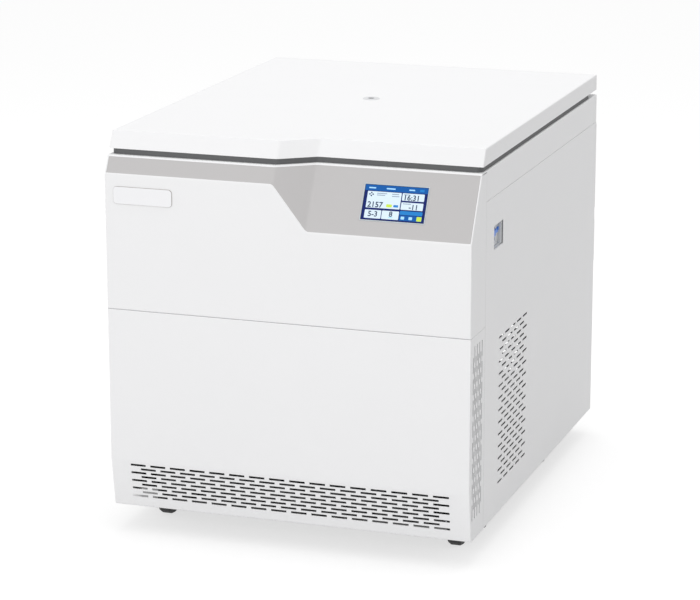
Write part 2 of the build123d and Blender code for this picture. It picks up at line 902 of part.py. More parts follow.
def make_hinge_leaves():
    """Two moving hinge leaves under the lid, each with the middle knuckle."""
    half = hinge_length / 2
    middle = hinge_middle / 2
    clear = hinge_knuckle_radius + knuckle_clearance
    bore = hinge_pin_radius + pin_clearance
    leaves = []
    for side in (-1, 1):
        x = side * hinge_x
        leaf = block(x - half, x + half, hinge_y - hinge_leaf_depth, hinge_y,
                     lid_bottom - hinge_leaf_thickness, lid_bottom)
        for end in (-1, 1):
            x0, x1 = sorted((x + end * middle, x + end * (half + cut)))
            leaf -= block(x0, x1, hinge_y - clear, far, 0, far)
        leaf += rod_x(x - middle, x + middle, hinge_y, hinge_z, hinge_knuckle_radius)
        leaf -= rod_x(x - half, x + half, hinge_y, hinge_z, bore)
        leaves.append(leaf)
    return Compound(children=leaves)


def make_torsion_bar():
    """Balancing torsion bar on the hinge axis, clamped to the deck at its left end."""
    reach = torsion_bar_length / 2
    clamp_end = -reach + torsion_clamp_length
    bar = rod_x(-reach, reach, hinge_y, hinge_z, torsion_bar_radius)
    bar += rod_x(-reach, clamp_end, hinge_y, hinge_z, hinge_knuckle_radius)
    bar += block(-reach, clamp_end, hinge_y - hinge_leaf_depth, hinge_y,
                 deck_height, deck_height + hinge_leaf_thickness)
    return bar


def make_torsion_bar_arm():
    """Arm under the lid that turns with the free end of the torsion bar."""
    reach = torsion_bar_length / 2
    start = reach - torsion_clamp_length
    arm = block(start, reach, hinge_y - hinge_leaf_depth, hinge_y,
                lid_bottom - hinge_leaf_thickness, lid_bottom)
    arm += rod_x(start, reach, hinge_y, hinge_z, hinge_knuckle_radius)
    return arm - rod_x(0, 2 * reach, hinge_y, hinge_z, torsion_bar_radius + pin_clearance)


def make_strikers():
    """Two striker plates below the lid, each with a window for the lock hook."""
    strikers = []
    half = striker_width / 2
    foot = striker_foot_reach
    window = striker_window_width / 2
    window_low = striker_low_z + striker_window_rise
    for side in (-1, 1):
        x = side * lock_x
        y = striker_y()
        plate = block(x - half, x + half, y - striker_thickness / 2, y + striker_thickness / 2,
                      striker_low_z, lid_bottom)
        plate += block(x - half, x + half, y - foot, y + foot, lid_bottom - striker_foot_thickness,
                       lid_bottom)
        plate -= block(x - window, x + window, y - foot, y + foot,
                       window_low, window_low + striker_window_height)
        strikers.append(plate)
    return Compound(children=strikers)


def hook_pivot_y():
    """Pivot line of the lock hooks in Y."""
    return striker_y() - hook_setback


def make_lock_housings():
    """Two lid locks under the deck: cheeks, top flange, pivot pin and actuator box."""
    housings = []
    y0 = striker_y() - lock_far_side
    y1 = striker_y() - lock_near_side
    flange = lock_flange_width / 2
    body = lock_body_width / 2
    cheek = hook_width / 2 + cheek_gap
    cheek_low = hook_pivot_z - cheek_drop
    for side in (-1, 1):
        x = side * lock_x
        lock = block(x - flange, x + flange, y0, y1, deck_underside - lock_sheet, deck_underside)
        for end in (-1, 1):
            x0, x1 = sorted((x + end * cheek, x + end * (cheek + lock_sheet)))
            lock += block(x0, x1, y0, y1, cheek_low, deck_underside)
        lock += block(x - body, x + body, y0, y1, cheek_low - lock_body_height, cheek_low)
        lock += rod_x(x - cheek, x + cheek, hook_pivot_y(), hook_pivot_z, hook_pivot_radius)
        housings.append(lock)
    return Compound(children=housings)


def make_lock_hook(side):
    """Hook that turns through the striker's window; drawn unlocked."""
    x = side * lock_x
    y = hook_pivot_y()
    half = hook_width / 2
    top = hook_pivot_z + hook_length
    hook = block(x - half, x + half, y - hook_thickness / 2, y + hook_thickness / 2, hook_pivot_z, top)
    hook += block(x - half, x + half, y, y + hook_nose_reach, top - hook_nose_height, top)
    hook += rod_x(x - half, x + half, y, hook_pivot_z, hook_hub_radius)
    bore = hook_pivot_radius + pin_clearance
    return hook - rod_x(x - half - cut, x + half + cut, y, hook_pivot_z, bore)


def make_chamber_bowl():
    """Stainless steel chamber bowl: a pressed floor pan with a rounded foot, welded to a rolled wall."""
    floor = bowl_floor_z
    under = floor - bowl_wall
    weld = floor + bowl_corner
    turn = bowl_radius - bowl_corner
    outside = bowl_outer_radius
    base = Polyline((bowl_hole_radius, under), (turn, under))
    foot = RadiusArc((turn, under), (outside, weld), bowl_corner + bowl_wall, short_sagitta=True)
    edge = Line((outside, weld), (bowl_radius, weld))
    inner = RadiusArc((bowl_radius, weld), (turn, floor), -bowl_corner, short_sagitta=True)
    close = Polyline((turn, floor), (bowl_hole_radius, floor), (bowl_hole_radius, under))
    profile = Plane.XZ * make_face(base + foot + edge + inner + close)
    pan = Pos(0, axis_y, 0) * revolve(profile, Axis.Z)
    rim_top = deck_underside - seat_gap
    rim_low = rim_top - bowl_wall
    rim_radius = bowl_radius + bowl_rim_width
    wall = turned(
        [(bowl_radius, weld), (outside, weld), (outside, rim_low), (rim_radius, rim_low),
         (rim_radius, rim_top), (bowl_radius, rim_top)],
        0, axis_y,
    )
    return Compound(children=[pan, wall])


def make_insulation_jacket():
    """Foam jacket around and below the bowl, open for the drive."""
    low = shelf_top + seat_gap
    floor = bowl_floor_z - bowl_wall - seat_gap
    top = deck_underside - foam_top_gap
    upper_inner = bowl_outer_radius + seat_gap
    relief = evaporator_radius + seat_gap
    relief_top = evaporator_high + foam_relief_gap
    return turned(
        [(shelf_hole_radius, low), (jacket_outer_radius, low), (jacket_outer_radius, top),
         (upper_inner, top), (upper_inner, relief_top), (relief, relief_top),
         (relief, floor), (shelf_hole_radius, floor)],
        0, axis_y,
    )


def make_evaporator_jacket():
    """Cooled sleeve around the bowl."""
    outer = upright(0, axis_y, evaporator_low, evaporator_high, evaporator_radius)
    return outer - upright(0, axis_y, 0, far, bowl_outer_radius + seat_gap)


def make_guard_ring():
    """Steel ring that would hold a burst rotor, around the foam."""
    outer = upright(0, axis_y, shelf_top, guard_top, guard_radius)
    return outer - upright(0, axis_y, 0, far, guard_radius - guard_thickness)


def make_chamber_shelf():
    """Shelf that carries the guard ring, the foam and the bowl."""
    reach = half_width - sheet - shelf_side_gap
    front = front_y + front_post_y + post_width / 2 + shelf_post_gap
    back = front_y + rear_post_y - post_width / 2 - shelf_post_gap
    plate = block(-reach, reach, front, back, shelf_bottom, shelf_top)
    return plate - upright(0, axis_y, 0, far, shelf_hole_radius)


def square_tube_y(x, y0, y1, z, width, height, wall):
    """Rectangular tube along Y around a centre line."""
    outer = block(x - width / 2, x + width / 2, y0, y1, z - height / 2, z + height / 2)
    return outer - block(x - width / 2 + wall, x + width / 2 - wall, -far, far,
                         z - height / 2 + wall, z + height / 2 - wall)


def make_base_frame():
    """Welded base: two long rails and three cross rails under a floor plate."""
    front = front_y + plinth_lean + sheet + base_plate_inset + base_front_setback
    back = rear_y - sheet - base_plate_inset
    middle_z = frame_bottom_z + frame_tube / 2
    reach = half_width - sheet - base_plate_inset
    half_tube = frame_tube / 2
    pieces = [block(-reach, reach, front, back, frame_top, floor_plate_top)]
    for side in (-1, 1):
        pieces.append(square_tube_y(side * frame_rail_x, front, back, middle_z, frame_rail_width,
                                    frame_tube, frame_wall))
    inner = frame_rail_x - frame_rail_width / 2
    for y in (front + half_tube, (front + back) / 2, back - half_tube):
        cross = block(-inner, inner, y - half_tube, y + half_tube, frame_bottom_z, frame_top)
        cross -= block(-far, far, y - half_tube + frame_wall, y + half_tube - frame_wall,
                       frame_bottom_z + frame_wall, frame_top - frame_wall)
        pieces.append(cross)
    return Compound(children=pieces)


def post_places():
    """Centres of the four corner posts in plan."""
    return [(side * post_x, front_y + y) for side in (-1, 1) for y in (front_post_y, rear_post_y)]


def make_corner_posts():
    """Four square posts from the floor plate to the deck."""
    posts = []
    for x, y in post_places():
        half = post_width / 2
        post = block(x - half, x + half, y - half, y + half, floor_plate_top, deck_underside)
        half -= post_wall
        posts.append(post - block(x - half, x + half, y - half, y + half, 0, far))
    return Compound(children=posts)


def make_side_rails():
    """Two level rails between the posts that carry the chamber shelf."""
    rails = []
    for side in (-1, 1):
        x = side * post_x
        y0 = front_y + front_post_y + post_width / 2
        y1 = front_y + rear_post_y - post_width / 2
        rails.append(square_tube_y(x, y0, y1, shelf_bottom - post_width / 2, post_width, post_width,
                                   post_wall))
    return Compound(children=rails)


def make_bulkhead():
    """Sheet behind the front posts that carries the electrics."""
    reach = half_width - sheet - fit_gap
    y = bulkhead_front
    return block(-reach, reach, y, y + bulkhead_sheet, bulkhead_low_z, deck_underside - bulkhead_top_gap)


def make_inverter():
    """Motor inverter with cooling ribs towards the front."""
    back = bulkhead_front - seat_gap
    front = back - inverter_depth
    body_front = front + inverter_fin_depth
    high = box_low_z + inverter_height
    x0 = inverter_x - inverter_width / 2
    x1 = inverter_x + inverter_width / 2
    body = block(x0, x1, body_front, back, box_low_z, high)
    pitch = inverter_width / inverter_fins
    for index in range(inverter_fins):
        x = x0 + (index + 0.5) * pitch
        body += block(x - inverter_fin_sheet / 2, x + inverter_fin_sheet / 2, front, body_front + cut,
                      box_low_z, high)
    return body


def make_control_box():
    """Covered box of the control board."""
    back = bulkhead_front - seat_gap
    box = block(control_box_x - control_box_width / 2, control_box_x + control_box_width / 2,
                back - control_box_depth, back, box_low_z, box_low_z + control_box_height)
    return fillet(box.edges().filter_by(Axis.Y), control_box_corner)


def make_breaker_bracket():
    """Bracket from the bulkhead that carries the circuit breaker."""
    y0 = bulkhead_front + bulkhead_sheet
    y1 = breaker_centre_y + breaker_width / 2
    x1 = breaker_back_x
    low = breaker_z - bracket_height / 2
    high = breaker_z + bracket_height / 2
    bracket = block(x1 - bracket_sheet, x1, y0, y1, low, high)
    return bracket + block(x1 - bracket_foot, x1, y0, y0 + bracket_sheet, low, high)


def make_circuit_breaker():
    """Two-pole breaker with its residual current module and the seat of the toggle."""
    y0 = breaker_centre_y - breaker_width / 2
    y1 = breaker_centre_y + breaker_width / 2
    shoulder = breaker_face_x - breaker_nose_depth
    tall = breaker_body_height / 2
    mouth = toggle_opening / 2
    body = block(breaker_back_x, shoulder, y0, y1, breaker_z - tall, breaker_z + tall)
    body += block(shoulder, breaker_face_x, y0, y1, breaker_z - breaker_height / 2,
                  breaker_z + breaker_height / 2)
    half = handle_width / 2 + fit_gap
    body -= rod_y(handle_axis_x, poles_y - half, poles_y + half, breaker_z, handle_radius + fit_gap)
    body -= block(handle_axis_x, far, poles_y - half, poles_y + half, breaker_z - mouth, breaker_z + mouth)
    body += rod_y(handle_axis_x, poles_y - half, poles_y + half, breaker_z, handle_pin_radius)
    body -= rod_x(breaker_face_x - button_hole_depth, far, module_y, button_z,
                  button_radius + fit_gap / 2)
    return body


def make_breaker_handle():
    """Linked toggle of the breaker, drawn switched on, which is up."""
    half = handle_width / 2
    length = handle_radius - handle_bulge + handle_reach - handle_tip_gap
    toggle = rod_y(0, -half, half, 0, handle_radius)
    lever = block(0, length, -half, half, -handle_thickness / 2, handle_thickness / 2)
    lever = fillet(lever.faces().sort_by(Axis.X)[-1].edges().filter_by(Axis.Y), handle_thickness / 3)
    toggle = Rot(0, -handle_travel / 2, 0) * (toggle + lever)
    toggle -= rod_y(0, -half - cut, half + cut, 0, handle_pin_radius + pin_clearance)
    return Pos(handle_axis_x, poles_y, breaker_z) * toggle


def make_test_button():
    """Test button of the residual current module."""
    start = breaker_face_x - button_hole_depth + button_travel + button_end_gap
    return rod_x(start, breaker_face_x + button_proud, module_y, button_z, button_radius)


def local_bucket():
    """Swing bucket hanging at +X of a rotor axis at the origin."""
    low = swing_height - bucket_below_pivot
    high = swing_height + bucket_above_pivot
    outline = RectangleRounded(bucket_thickness, bucket_width, bucket_corner)
    hollow = RectangleRounded(bucket_thickness - 2 * bucket_wall, bucket_width - 2 * bucket_wall,
                              bucket_corner - bucket_wall)
    cup = Pos(pivot_radius, 0, low) * extrude(outline, high - low)
    cup = chamfer(cup.faces().sort_by(Axis.Z)[0].edges(), bucket_floor)
    cup -= Pos(pivot_radius, 0, low + bucket_floor) * extrude(hollow, high - low)
    x0 = pivot_radius - lug_length / 2
    x1 = pivot_radius + lug_length / 2
    inner = bucket_width / 2 - bucket_wall / 2
    slot = pin_radius + pin_clearance
    for side in (-1, 1):
        y0, y1 = sorted((side * inner, side * (arm_face - lug_gap)))
        lug = block(x0, x1, y0, y1, swing_height - lug_length / 2, high)
        s0, s1 = sorted((side * (bucket_width / 2 + lug_web), side * arm_face))
        lug -= rod_y(pivot_radius, s0, s1, swing_height, slot)
        lug -= block(pivot_radius - slot, pivot_radius + slot, s0, s1, 0, swing_height)
        cup += lug
    return cup


def around_rotor(shape, index):
    """Place a shape drawn at +X of the rotor axis at one of the bucket stations."""
    return Pos(0, axis_y, 0) * Rot(0, 0, index * 360 / bucket_count) * shape


def make_rotor_yoke():
    """Four-armed swing rotor with a pair of trunnion pins beside each bucket."""
    low = swing_height - arm_below_pivot
    high = swing_height + bucket_above_pivot
    hub = turned(
        [(hub_bore_radius, hub_base_z), (hub_radius, hub_base_z), (hub_radius, hub_top_z - hub_chamfer),
         (hub_radius - hub_chamfer, hub_top_z), (hub_bore_radius, hub_top_z)],
    )
    head = prism_z(
        [(arm_face, arm_face), (arm_reach, arm_face), (arm_reach, arm_reach - arm_chamfer),
         (arm_reach - arm_chamfer, arm_reach), (arm_face, arm_reach)],
        low, high,
    )
    neck_start = hub_radius - neck_overlap
    neck_end = arm_face * math.sqrt(2) + neck_reach
    neck = Rot(0, 0, 45) * block(neck_start, neck_end, -arm_width / 2, arm_width / 2, low, high)
    pin_start = bucket_width / 2 + lug_gap
    pins = rod_y(pivot_radius, pin_start, arm_face + pin_root, swing_height, pin_radius)
    pins += rod_x(pin_start, arm_face + pin_root, pivot_radius, swing_height, pin_radius)
    arm = head + neck + pins
    yoke = hub
    for index in range(bucket_count):
        yoke += Rot(0, 0, index * 360 / bucket_count) * arm
    return Pos(0, axis_y, 0) * yoke


def make_drive_shaft():
    """Drive shaft from the motor to the rotor seat, with its collar and end stud."""
    seat_radius = hub_bore_radius - slip_gap
    collar_low = hub_base_z - collar_height
    return turned(
        [(0, shaft_bottom_z), (shaft_radius, shaft_bottom_z), (shaft_radius, collar_low),
         (collar_radius, collar_low), (collar_radius, hub_base_z), (seat_radius, hub_base_z),
         (seat_radius, hub_top_z), (stud_radius, hub_top_z), (stud_radius, stud_top_z), (0, stud_top_z)],
        0, axis_y,
    )


def make_rotor_nut():
    """Lobed nut that clamps the rotor on the shaft."""
    nut = Cylinder(nut_radius, nut_height)
    scallop = Pos(nut_radius + nut_scallop_offset, 0, 0) * Cylinder(nut_scallop_radius, 2 * nut_height)
    for index in range(nut_lobes):
        nut -= Rot(0, 0, index * 360 / nut_lobes) * scallop
    nut = Pos(0, axis_y, hub_top_z + nut_height / 2) * nut
    return nut - upright(0, axis_y, hub_top_z - cut, stud_top_z + fit_gap, stud_radius + slip_gap)


def make_shaft_boot():
    """Rubber boot that closes the hole in the bowl around the shaft."""
    bore = shaft_radius + boot_bore_gap
    low = bowl_floor_z
    step = low + boot_flange_thickness
    return turned(
        [(bore, low), (boot_flange_radius, low), (boot_flange_radius, step),
         (boot_flange_radius - boot_flange_width, step), (boot_top_radius, low + boot_height),
         (bore, low + boot_height)],
        0, axis_y,
    )


def make_motor_housing():
    """Drive motor with end bells, a mounting flange and the upper shaft bearing seat."""
    flange = motor_plate_z + motor_plate_thickness
    bell_low = motor_low_z + motor_bell_height
    bell_high = motor_high_z - motor_bell_height
    bore = shaft_radius + pin_clearance
    return turned(
        [(0, motor_low_z), (motor_bell_radius, motor_low_z), (motor_bell_radius, bell_low),
         (motor_radius, bell_low), (motor_radius, flange), (motor_flange_radius, flange),
         (motor_flange_radius, flange + motor_flange_thickness),
         (motor_radius, flange + motor_flange_thickness), (motor_radius, bell_high),
         (motor_bell_radius, bell_high), (motor_bell_radius, motor_high_z), (bore, motor_high_z),
         (bore, shaft_bottom_z - fit_gap), (0, shaft_bottom_z - fit_gap)],
        0, axis_y,
    )


def make_motor_plate():
    """Plate that carries the motor on the rubber mounts."""
    plate = block(-motor_plate_width / 2, motor_plate_width / 2, axis_y - motor_plate_depth / 2,
                  axis_y + motor_plate_depth / 2, motor_plate_z, motor_plate_z + motor_plate_thickness)
    return plate - upright(0, axis_y, 0, far, motor_radius + seat_gap)


def mount_places():
    """Centres of the four motor mounts in plan."""
    half = mount_pitch / 2
    return [(x, axis_y + y) for x in (-half, half) for y in (-half, half)]


def make_vibration_mounts():
    """Four waisted rubber mounts under the motor plate."""
    high = motor_plate_z
    low = high - mount_height
    mounts = []
    for x, y in mount_places():
        mounts.append(turned(
            [(0, low), (mount_radius, low), (mount_radius, low + mount_end_thickness),
             (mount_waist_radius, low + mount_waist_offset),
             (mount_waist_radius, high - mount_waist_offset),
             (mount_radius, high - mount_end_thickness), (mount_radius, high), (0, high)],
            x, y,
        ))
    return Compound(children=mounts)


def make_motor_stands():
    """Four short pillars from the floor plate to the rubber mounts."""
    high = motor_plate_z - mount_height
    half = stand_width / 2
    return Compound(children=[
        block(x - half, x + half, y - half, y + half, floor_plate_top, high) for x, y in mount_places()
    ])


def compressor_base():
    """Height of the compressor's foot plate."""
    return floor_plate_top + compressor_foot_height


def make_compressor():
    """Hermetic compressor with a domed shell on a foot plate."""
    y = front_y + compressor_y
    low = compressor_base()
    plate_top = low + compressor_plate_thickness
    high = plate_top + compressor_height
    radius = compressor_radius
    reach = compressor_reach
    shell = turned(
        [(0, plate_top), (radius - shell_base_bevel, plate_top), (radius, plate_top + shell_base_rise),
         (radius, high - shell_shoulder_drop), (radius - shell_shoulder_bevel, high - shell_crown_drop),
         (radius - shell_crown_bevel, high), (0, high)],
        compressor_x, y,
    )
    return shell + block(compressor_x - reach, compressor_x + reach, y - reach, y + reach, low, plate_top)


def make_compressor_feet():
    """Four rubber feet under the compressor."""
    y = front_y + compressor_y
    feet = []
    for dx in (-compressor_foot_spread, compressor_foot_spread):
        for dy in (-compressor_foot_spread, compressor_foot_spread):
            feet.append(upright(compressor_x + dx, y + dy, floor_plate_top, compressor_base(),
                                compressor_foot_radius))
    return Compound(children=feet)


def make_condenser():
    """Condenser block behind the front cover, with upright fins between end plates."""
    y0 = front_y + condenser_front
    y1 = y0 + condenser_depth
    half = condenser_width / 2
    high = floor_plate_top + condenser_height
    core = block(-half, half, y0 + condenser_depth / 2, y1, floor_plate_top, high)
    pitch = (condenser_width - fin_thickness) / (condenser_fins - 1)
    for index in range(condenser_fins):
        x = -half + index * pitch
        core += block(x, x + fin_thickness, y0, y1, floor_plate_top, high)
    return core


def fan_y():
    """Middle of the fan in Y."""
    return front_y + condenser_front + condenser_depth + shroud_depth


def fan_z():
    """Height of the fan axis."""
    return floor_plate_top + condenser_height / 2


def make_fan_shroud():
    """Shroud from the condenser to the fan ring, with the motor bridge."""
    y0 = front_y + condenser_front + condenser_depth
    y1 = y0 + shroud_depth
    back_y = y1 - shroud_back_sheet
    half = condenser_width / 2
    high = floor_plate_top + condenser_height
    ring_radius = fan_radius + fan_tip_gap
    shroud = block(-half, half, y0, y1, floor_plate_top, high)
    shroud -= block(-half + shroud_sheet, half - shroud_sheet, y0 - cut, back_y,
                    floor_plate_top + shroud_sheet, high - shroud_sheet)
    shroud -= rod_y(0, y0, y1 + cut, fan_z(), ring_radius)
    bridge_y = fan_y() + fan_hub_length / 2 + fan_bridge_gap
    bridge_end = bridge_y + bridge_sheet
    reach = ring_radius + bridge_side_gap
    low_z = fan_z() - bridge_width / 2
    high_z = fan_z() + bridge_width / 2
    for side in (-1, 1):
        x0, x1 = sorted((side * (reach - bridge_leg_sheet), side * reach))
        shroud += block(x0, x1, back_y, bridge_end, low_z, high_z)
    shroud += block(-reach, reach, bridge_y, bridge_end, low_z, high_z)
    return shroud - rod_y(0, bridge_y - cut, bridge_end + cut, fan_z(), fan_shaft_radius + bridge_hole_gap)


def make_fan_motor():
    """Fan motor behind the bridge."""
    y0 = fan_y() + fan_hub_length / 2 + fan_bridge_gap + bridge_sheet
    motor = rod_y(0, y0, y0 + fan_motor_length, fan_z(), fan_motor_radius)
    return motor - rod_y(0, y0 - cut, y0 + fan_motor_bore, fan_z(), fan_shaft_radius + pin_clearance)


def make_fan_blades():
    """Axial fan with tilted blades on a hub and its shaft."""
    half = fan_hub_length / 2
    fan = Rot(90, 0, 0) * Cylinder(fan_hub_radius, fan_hub_length)
    for index in range(fan_blade_count):
        blade = block(fan_hub_radius - fan_blade_root, fan_radius + fan_blade_root,
                      -fan_blade_width / 2, fan_blade_width / 2, -fan_blade_sheet / 2, fan_blade_sheet / 2)
        blade = Rot(90 - fan_blade_pitch, 0, 0) * blade
        fan += Rot(0, index * 360 / fan_blade_count, 0) * blade
    fan = fan & (Rot(90, 0, 0) * Cylinder(fan_radius, 2 * fan_blade_width))
    shaft_end = half + fan_bridge_gap + bridge_sheet + fan_shaft_grip
    fan += rod_y(0, half - cut, shaft_end, 0, fan_shaft_radius)
    return Pos(0, fan_y(), fan_z()) * fan


def tube(points, bend):
    """Bent pipe through points, with one radius for all bends."""
    path = FilletPolyline(*points, radius=bend)
    section = Plane(origin=path @ 0, z_dir=path % 0) * Circle(pipe_radius)
    return sweep(section, path=path)


def make_pipes():
    """Discharge, liquid, capillary and suction pipes of the cooling circuit."""
    y = front_y + compressor_y
    top = compressor_base() + compressor_plate_thickness + compressor_height + seat_gap
    side_x = -condenser_width / 2 - seat_gap
    condenser_y = front_y + condenser_front + condenser_depth * 0.75
    high = floor_plate_top + condenser_height - pipe_inset
    low = floor_plate_top + pipe_inset
    outer_x = drier_x - pipe_side_offset
    discharge = tube([(compressor_x, y, top), (compressor_x, y, high), (outer_x, y, high),
                      (outer_x, condenser_y, high), (side_x, condenser_y, high)], pipe_bend)
    dry_y = front_y + drier_y
    liquid = tube([(side_x, condenser_y, low), (drier_x, condenser_y, low), (drier_x, dry_y, low),
                   (drier_x, dry_y, drier_low_z - seat_gap)], thin_pipe_bend)
    turn_x = drier_x + capillary_offset
    capillary = tube([(drier_x, dry_y, drier_low_z + drier_length + seat_gap),
                      (drier_x, dry_y, shelf_bottom - capillary_drop),
                      (turn_x, dry_y, shelf_bottom - capillary_rise),
                      (turn_x, dry_y, shelf_bottom - seat_gap)], thin_pipe_bend)
    shell_x = compressor_x + compressor_radius
    suction_x = shell_x + suction_offset
    suction = tube([(suction_x, y, shelf_bottom - seat_gap), (suction_x, y, shelf_bottom - suction_drop),
                    (shell_x + seat_gap, y, shelf_bottom - suction_drop)], pipe_bend)
    return Compound(children=[discharge, liquid, capillary, suction])


def make_filter_drier():
    """Copper filter drier between the condenser and the capillary."""
    high = drier_low_z + drier_length
    return turned(
        [(0, drier_low_z), (drier_neck_radius, drier_low_z), (drier_radius, drier_low_z + drier_taper),
         (drier_radius, high - drier_taper), (drier_neck_radius, high), (0, high)],
        drier_x, front_y + drier_y,
    )


def caster_places():
    """Swivel axes of the four casters with their names."""
    places = {}
    for row, wheel_y in (("front", front_wheel_y), ("rear", rear_wheel_y)):
        for hand, side in (("left", -1), ("right", 1)):
            places[f"{row}_{hand}"] = (side * frame_rail_x, front_y + wheel_y - caster_trail)
    return places


def make_caster_plates():
    """Top plates of the front swivel casters with their races, and the rigid rear forks."""
    plates = []
    half = caster_plate_size / 2
    low = frame_bottom_z - caster_plate_thickness
    for name, (x, y) in caster_places().items():
        plate = block(x - half, x + half, y - half, y + half, low, frame_bottom_z)
        if name.startswith("front"):
            plate += upright(x, y, fork_top_z + fit_gap, low, race_radius)
            plate -= upright(x, y, 0, low, king_pin_radius + pin_clearance)
        else:
            plate += upright(x, y, fork_top_z, low, race_radius) + Pos(x, y, 0) * fork_legs()
        plates.append(plate)
    return Compound(children=plates)


def make_caster_fork(x, y):
    """Swivel fork with its king pin and axle; the wheel trails to the back."""
    pin = upright(0, 0, fork_top_z, frame_bottom_z - caster_plate_thickness - king_pin_end_gap,
                  king_pin_radius)
    return Pos(x, y, 0) * (fork_legs() + pin)


def fork_legs():
    """Caster fork about its own upright axis, with its axle."""
    wheel_y = caster_trail
    half = wheel_width / 2 + fork_gap
    bridge = fork_top_z - fork_top_thickness
    tip_z = wheel_radius - leg_tip_drop
    fork = upright(0, 0, bridge, fork_top_z, fork_disc_radius)
    leg = [
        (-fork_front_reach, fork_top_z), (fork_rear_reach, fork_top_z),
        (wheel_y + leg_rear_reach, wheel_radius + leg_rear_rise), (wheel_y + leg_tip_reach, tip_z),
        (wheel_y - leg_tip_reach, tip_z), (wheel_y - leg_front_reach, wheel_radius + leg_front_rise),
    ]
    for side in (-1, 1):
        x0, x1 = sorted((side * half, side * (half + fork_sheet)))
        fork += prism_x(leg, x0, x1)
    outside = half + fork_sheet
    fork += block(-outside, outside, -fork_front_reach, fork_bridge_reach, bridge, fork_top_z)
    return fork + rod_x(-half - axle_root, half + axle_root, wheel_y, wheel_radius, axle_radius)


def make_caster_wheel(x, y):
    """Caster wheel with bevelled tread shoulders."""
    half = wheel_width / 2
    tread = wheel_tread_width / 2
    bore = axle_radius + pin_clearance
    shoulder = wheel_radius - wheel_shoulder
    profile = Plane.XY * make_face(Polyline(
        (-half, bore), (half, bore), (half, shoulder), (tread, wheel_radius),
        (-tread, wheel_radius), (-half, shoulder), close=True,
    ))
    wheel = revolve(profile, Axis.X)
    return Pos(x, y + caster_trail, wheel_radius) * wheel


def make_levelling_feet():
    """Four screw feet under the rails, set down to the floor."""
    feet = []
    for side in (-1, 1):
        for wheel_y, offset in ((front_wheel_y, foot_offset_y), (rear_wheel_y, -foot_offset_y)):
            nut_low = frame_bottom_z - foot_nut_height
            feet.append(turned(
                [(0, 0), (foot_pad_radius, 0), (foot_pad_radius, foot_pad_height / 2),
                 (foot_ball_radius, foot_pad_height), (foot_stud_radius, foot_pad_height),
                 (foot_stud_radius, nut_low), (foot_nut_radius, nut_low),
                 (foot_nut_radius, frame_bottom_z), (0, frame_bottom_z)],
                side * frame_rail_x, front_y + wheel_y + offset,
            ))
    return Compound(children=feet)


def main():
    """Build every sub-part and write its file."""
    os.makedirs("parts", exist_ok=True)
    write("front_lower_cover", make_front_lower_cover())
    write("front_upper_cover", make_front_upper_cover())
    write("control_panel", make_control_panel())
    write("screen_frame", make_screen_frame())
    write("touch_screen", make_touch_screen())
    write("badge_plate", make_badge_plate())
    write("side_panel_left", make_side_panel(-1))
    write("side_panel_right", make_side_panel(1))
    write("rear_panel", make_rear_panel())
    write("rear_covers", together(make_rear_cover(rear_upper_low, rear_upper_high),
                                  make_rear_cover(rear_lower_low, rear_lower_high)))
    write("inlet_gland", make_inlet_gland())
    write("deck", make_deck())
    write("deck_gasket", make_deck_gasket())
    write("hinge_bases", together(make_hinge_bases(), make_hinge_pins(), make_torsion_bar()))
    write("lock_housings", make_lock_housings())
    write("lid_shell", make_lid_shell())
    write("lid_liner", together(make_lid_liner(), make_lid_armour()))
    write("chamber_seal", make_chamber_seal())
    write("port_ring", make_port_ring())
    write("port_window", make_port_window())
    write("hinge_leaves", together(make_hinge_leaves(), make_torsion_bar_arm()))
    write("lid_strikers", make_strikers())
    write("lock_hook_left", make_lock_hook(-1))
    write("lock_hook_right", make_lock_hook(1))
    write("chamber_bowl", make_chamber_bowl())
    write("insulation_jacket", make_insulation_jacket())
    write("guard_ring_shelf", together(make_guard_ring(), make_chamber_shelf()))
    write("shaft_boot", make_shaft_boot())
    write("drive_shaft", make_drive_shaft())
    write("rotor_yoke", make_rotor_yoke())
    write("rotor_nut", make_rotor_nut())
    for index in range(bucket_count):
        write(f"bucket_{index + 1}", around_rotor(local_bucket(), index))
    write("motor_housing", make_motor_housing())
    write("motor_plate", make_motor_plate())
    write("rubber_mounts", together(make_vibration_mounts(), make_compressor_feet()))
    write("base_frame", together(make_base_frame(), make_motor_stands()))
    write("posts_and_rails", together(make_corner_posts(), make_side_rails()))
    write("bulkhead", together(make_bulkhead(), make_breaker_bracket()))
    write("inverter", make_inverter())
    write("control_box", make_control_box())
    write("circuit_breaker", make_circuit_breaker())
    write("breaker_handle", make_breaker_handle())
    write("test_button", make_test_button())
    write("compressor", make_compressor())
    write("condenser", make_condenser())
    write("fan_shroud", make_fan_shroud())
    write("fan_motor", make_fan_motor())
    write("fan_blades", make_fan_blades())
    write("refrigerant_circuit", together(make_pipes(), make_filter_drier(), make_evaporator_jacket()))
    write("caster_plates", make_caster_plates())
    for name, (x, y) in caster_places().items():
        write(f"caster_wheel_{name}", make_caster_wheel(x, y))
        if name.startswith("front"):
            write(f"caster_fork_{name}", make_caster_fork(x, y))
    write("levelling_feet", make_levelling_feet())
    print(len(written), "parts")


main()
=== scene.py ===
import logging
import math
from dataclasses import dataclass
from enum import Enum
from functools import cache
from typing import Any, Iterable, Optional, Sequence

import bmesh
import bmesh.geometry
import bpy
from bmesh.types import BMEdge, BMesh, BMFace, BMLoop, BMVert
from bpy.types import ID, Material, Mesh, Node, NodeOutputs, NodeSocket, NodeTree, Object
from mathutils import Matrix, Vector


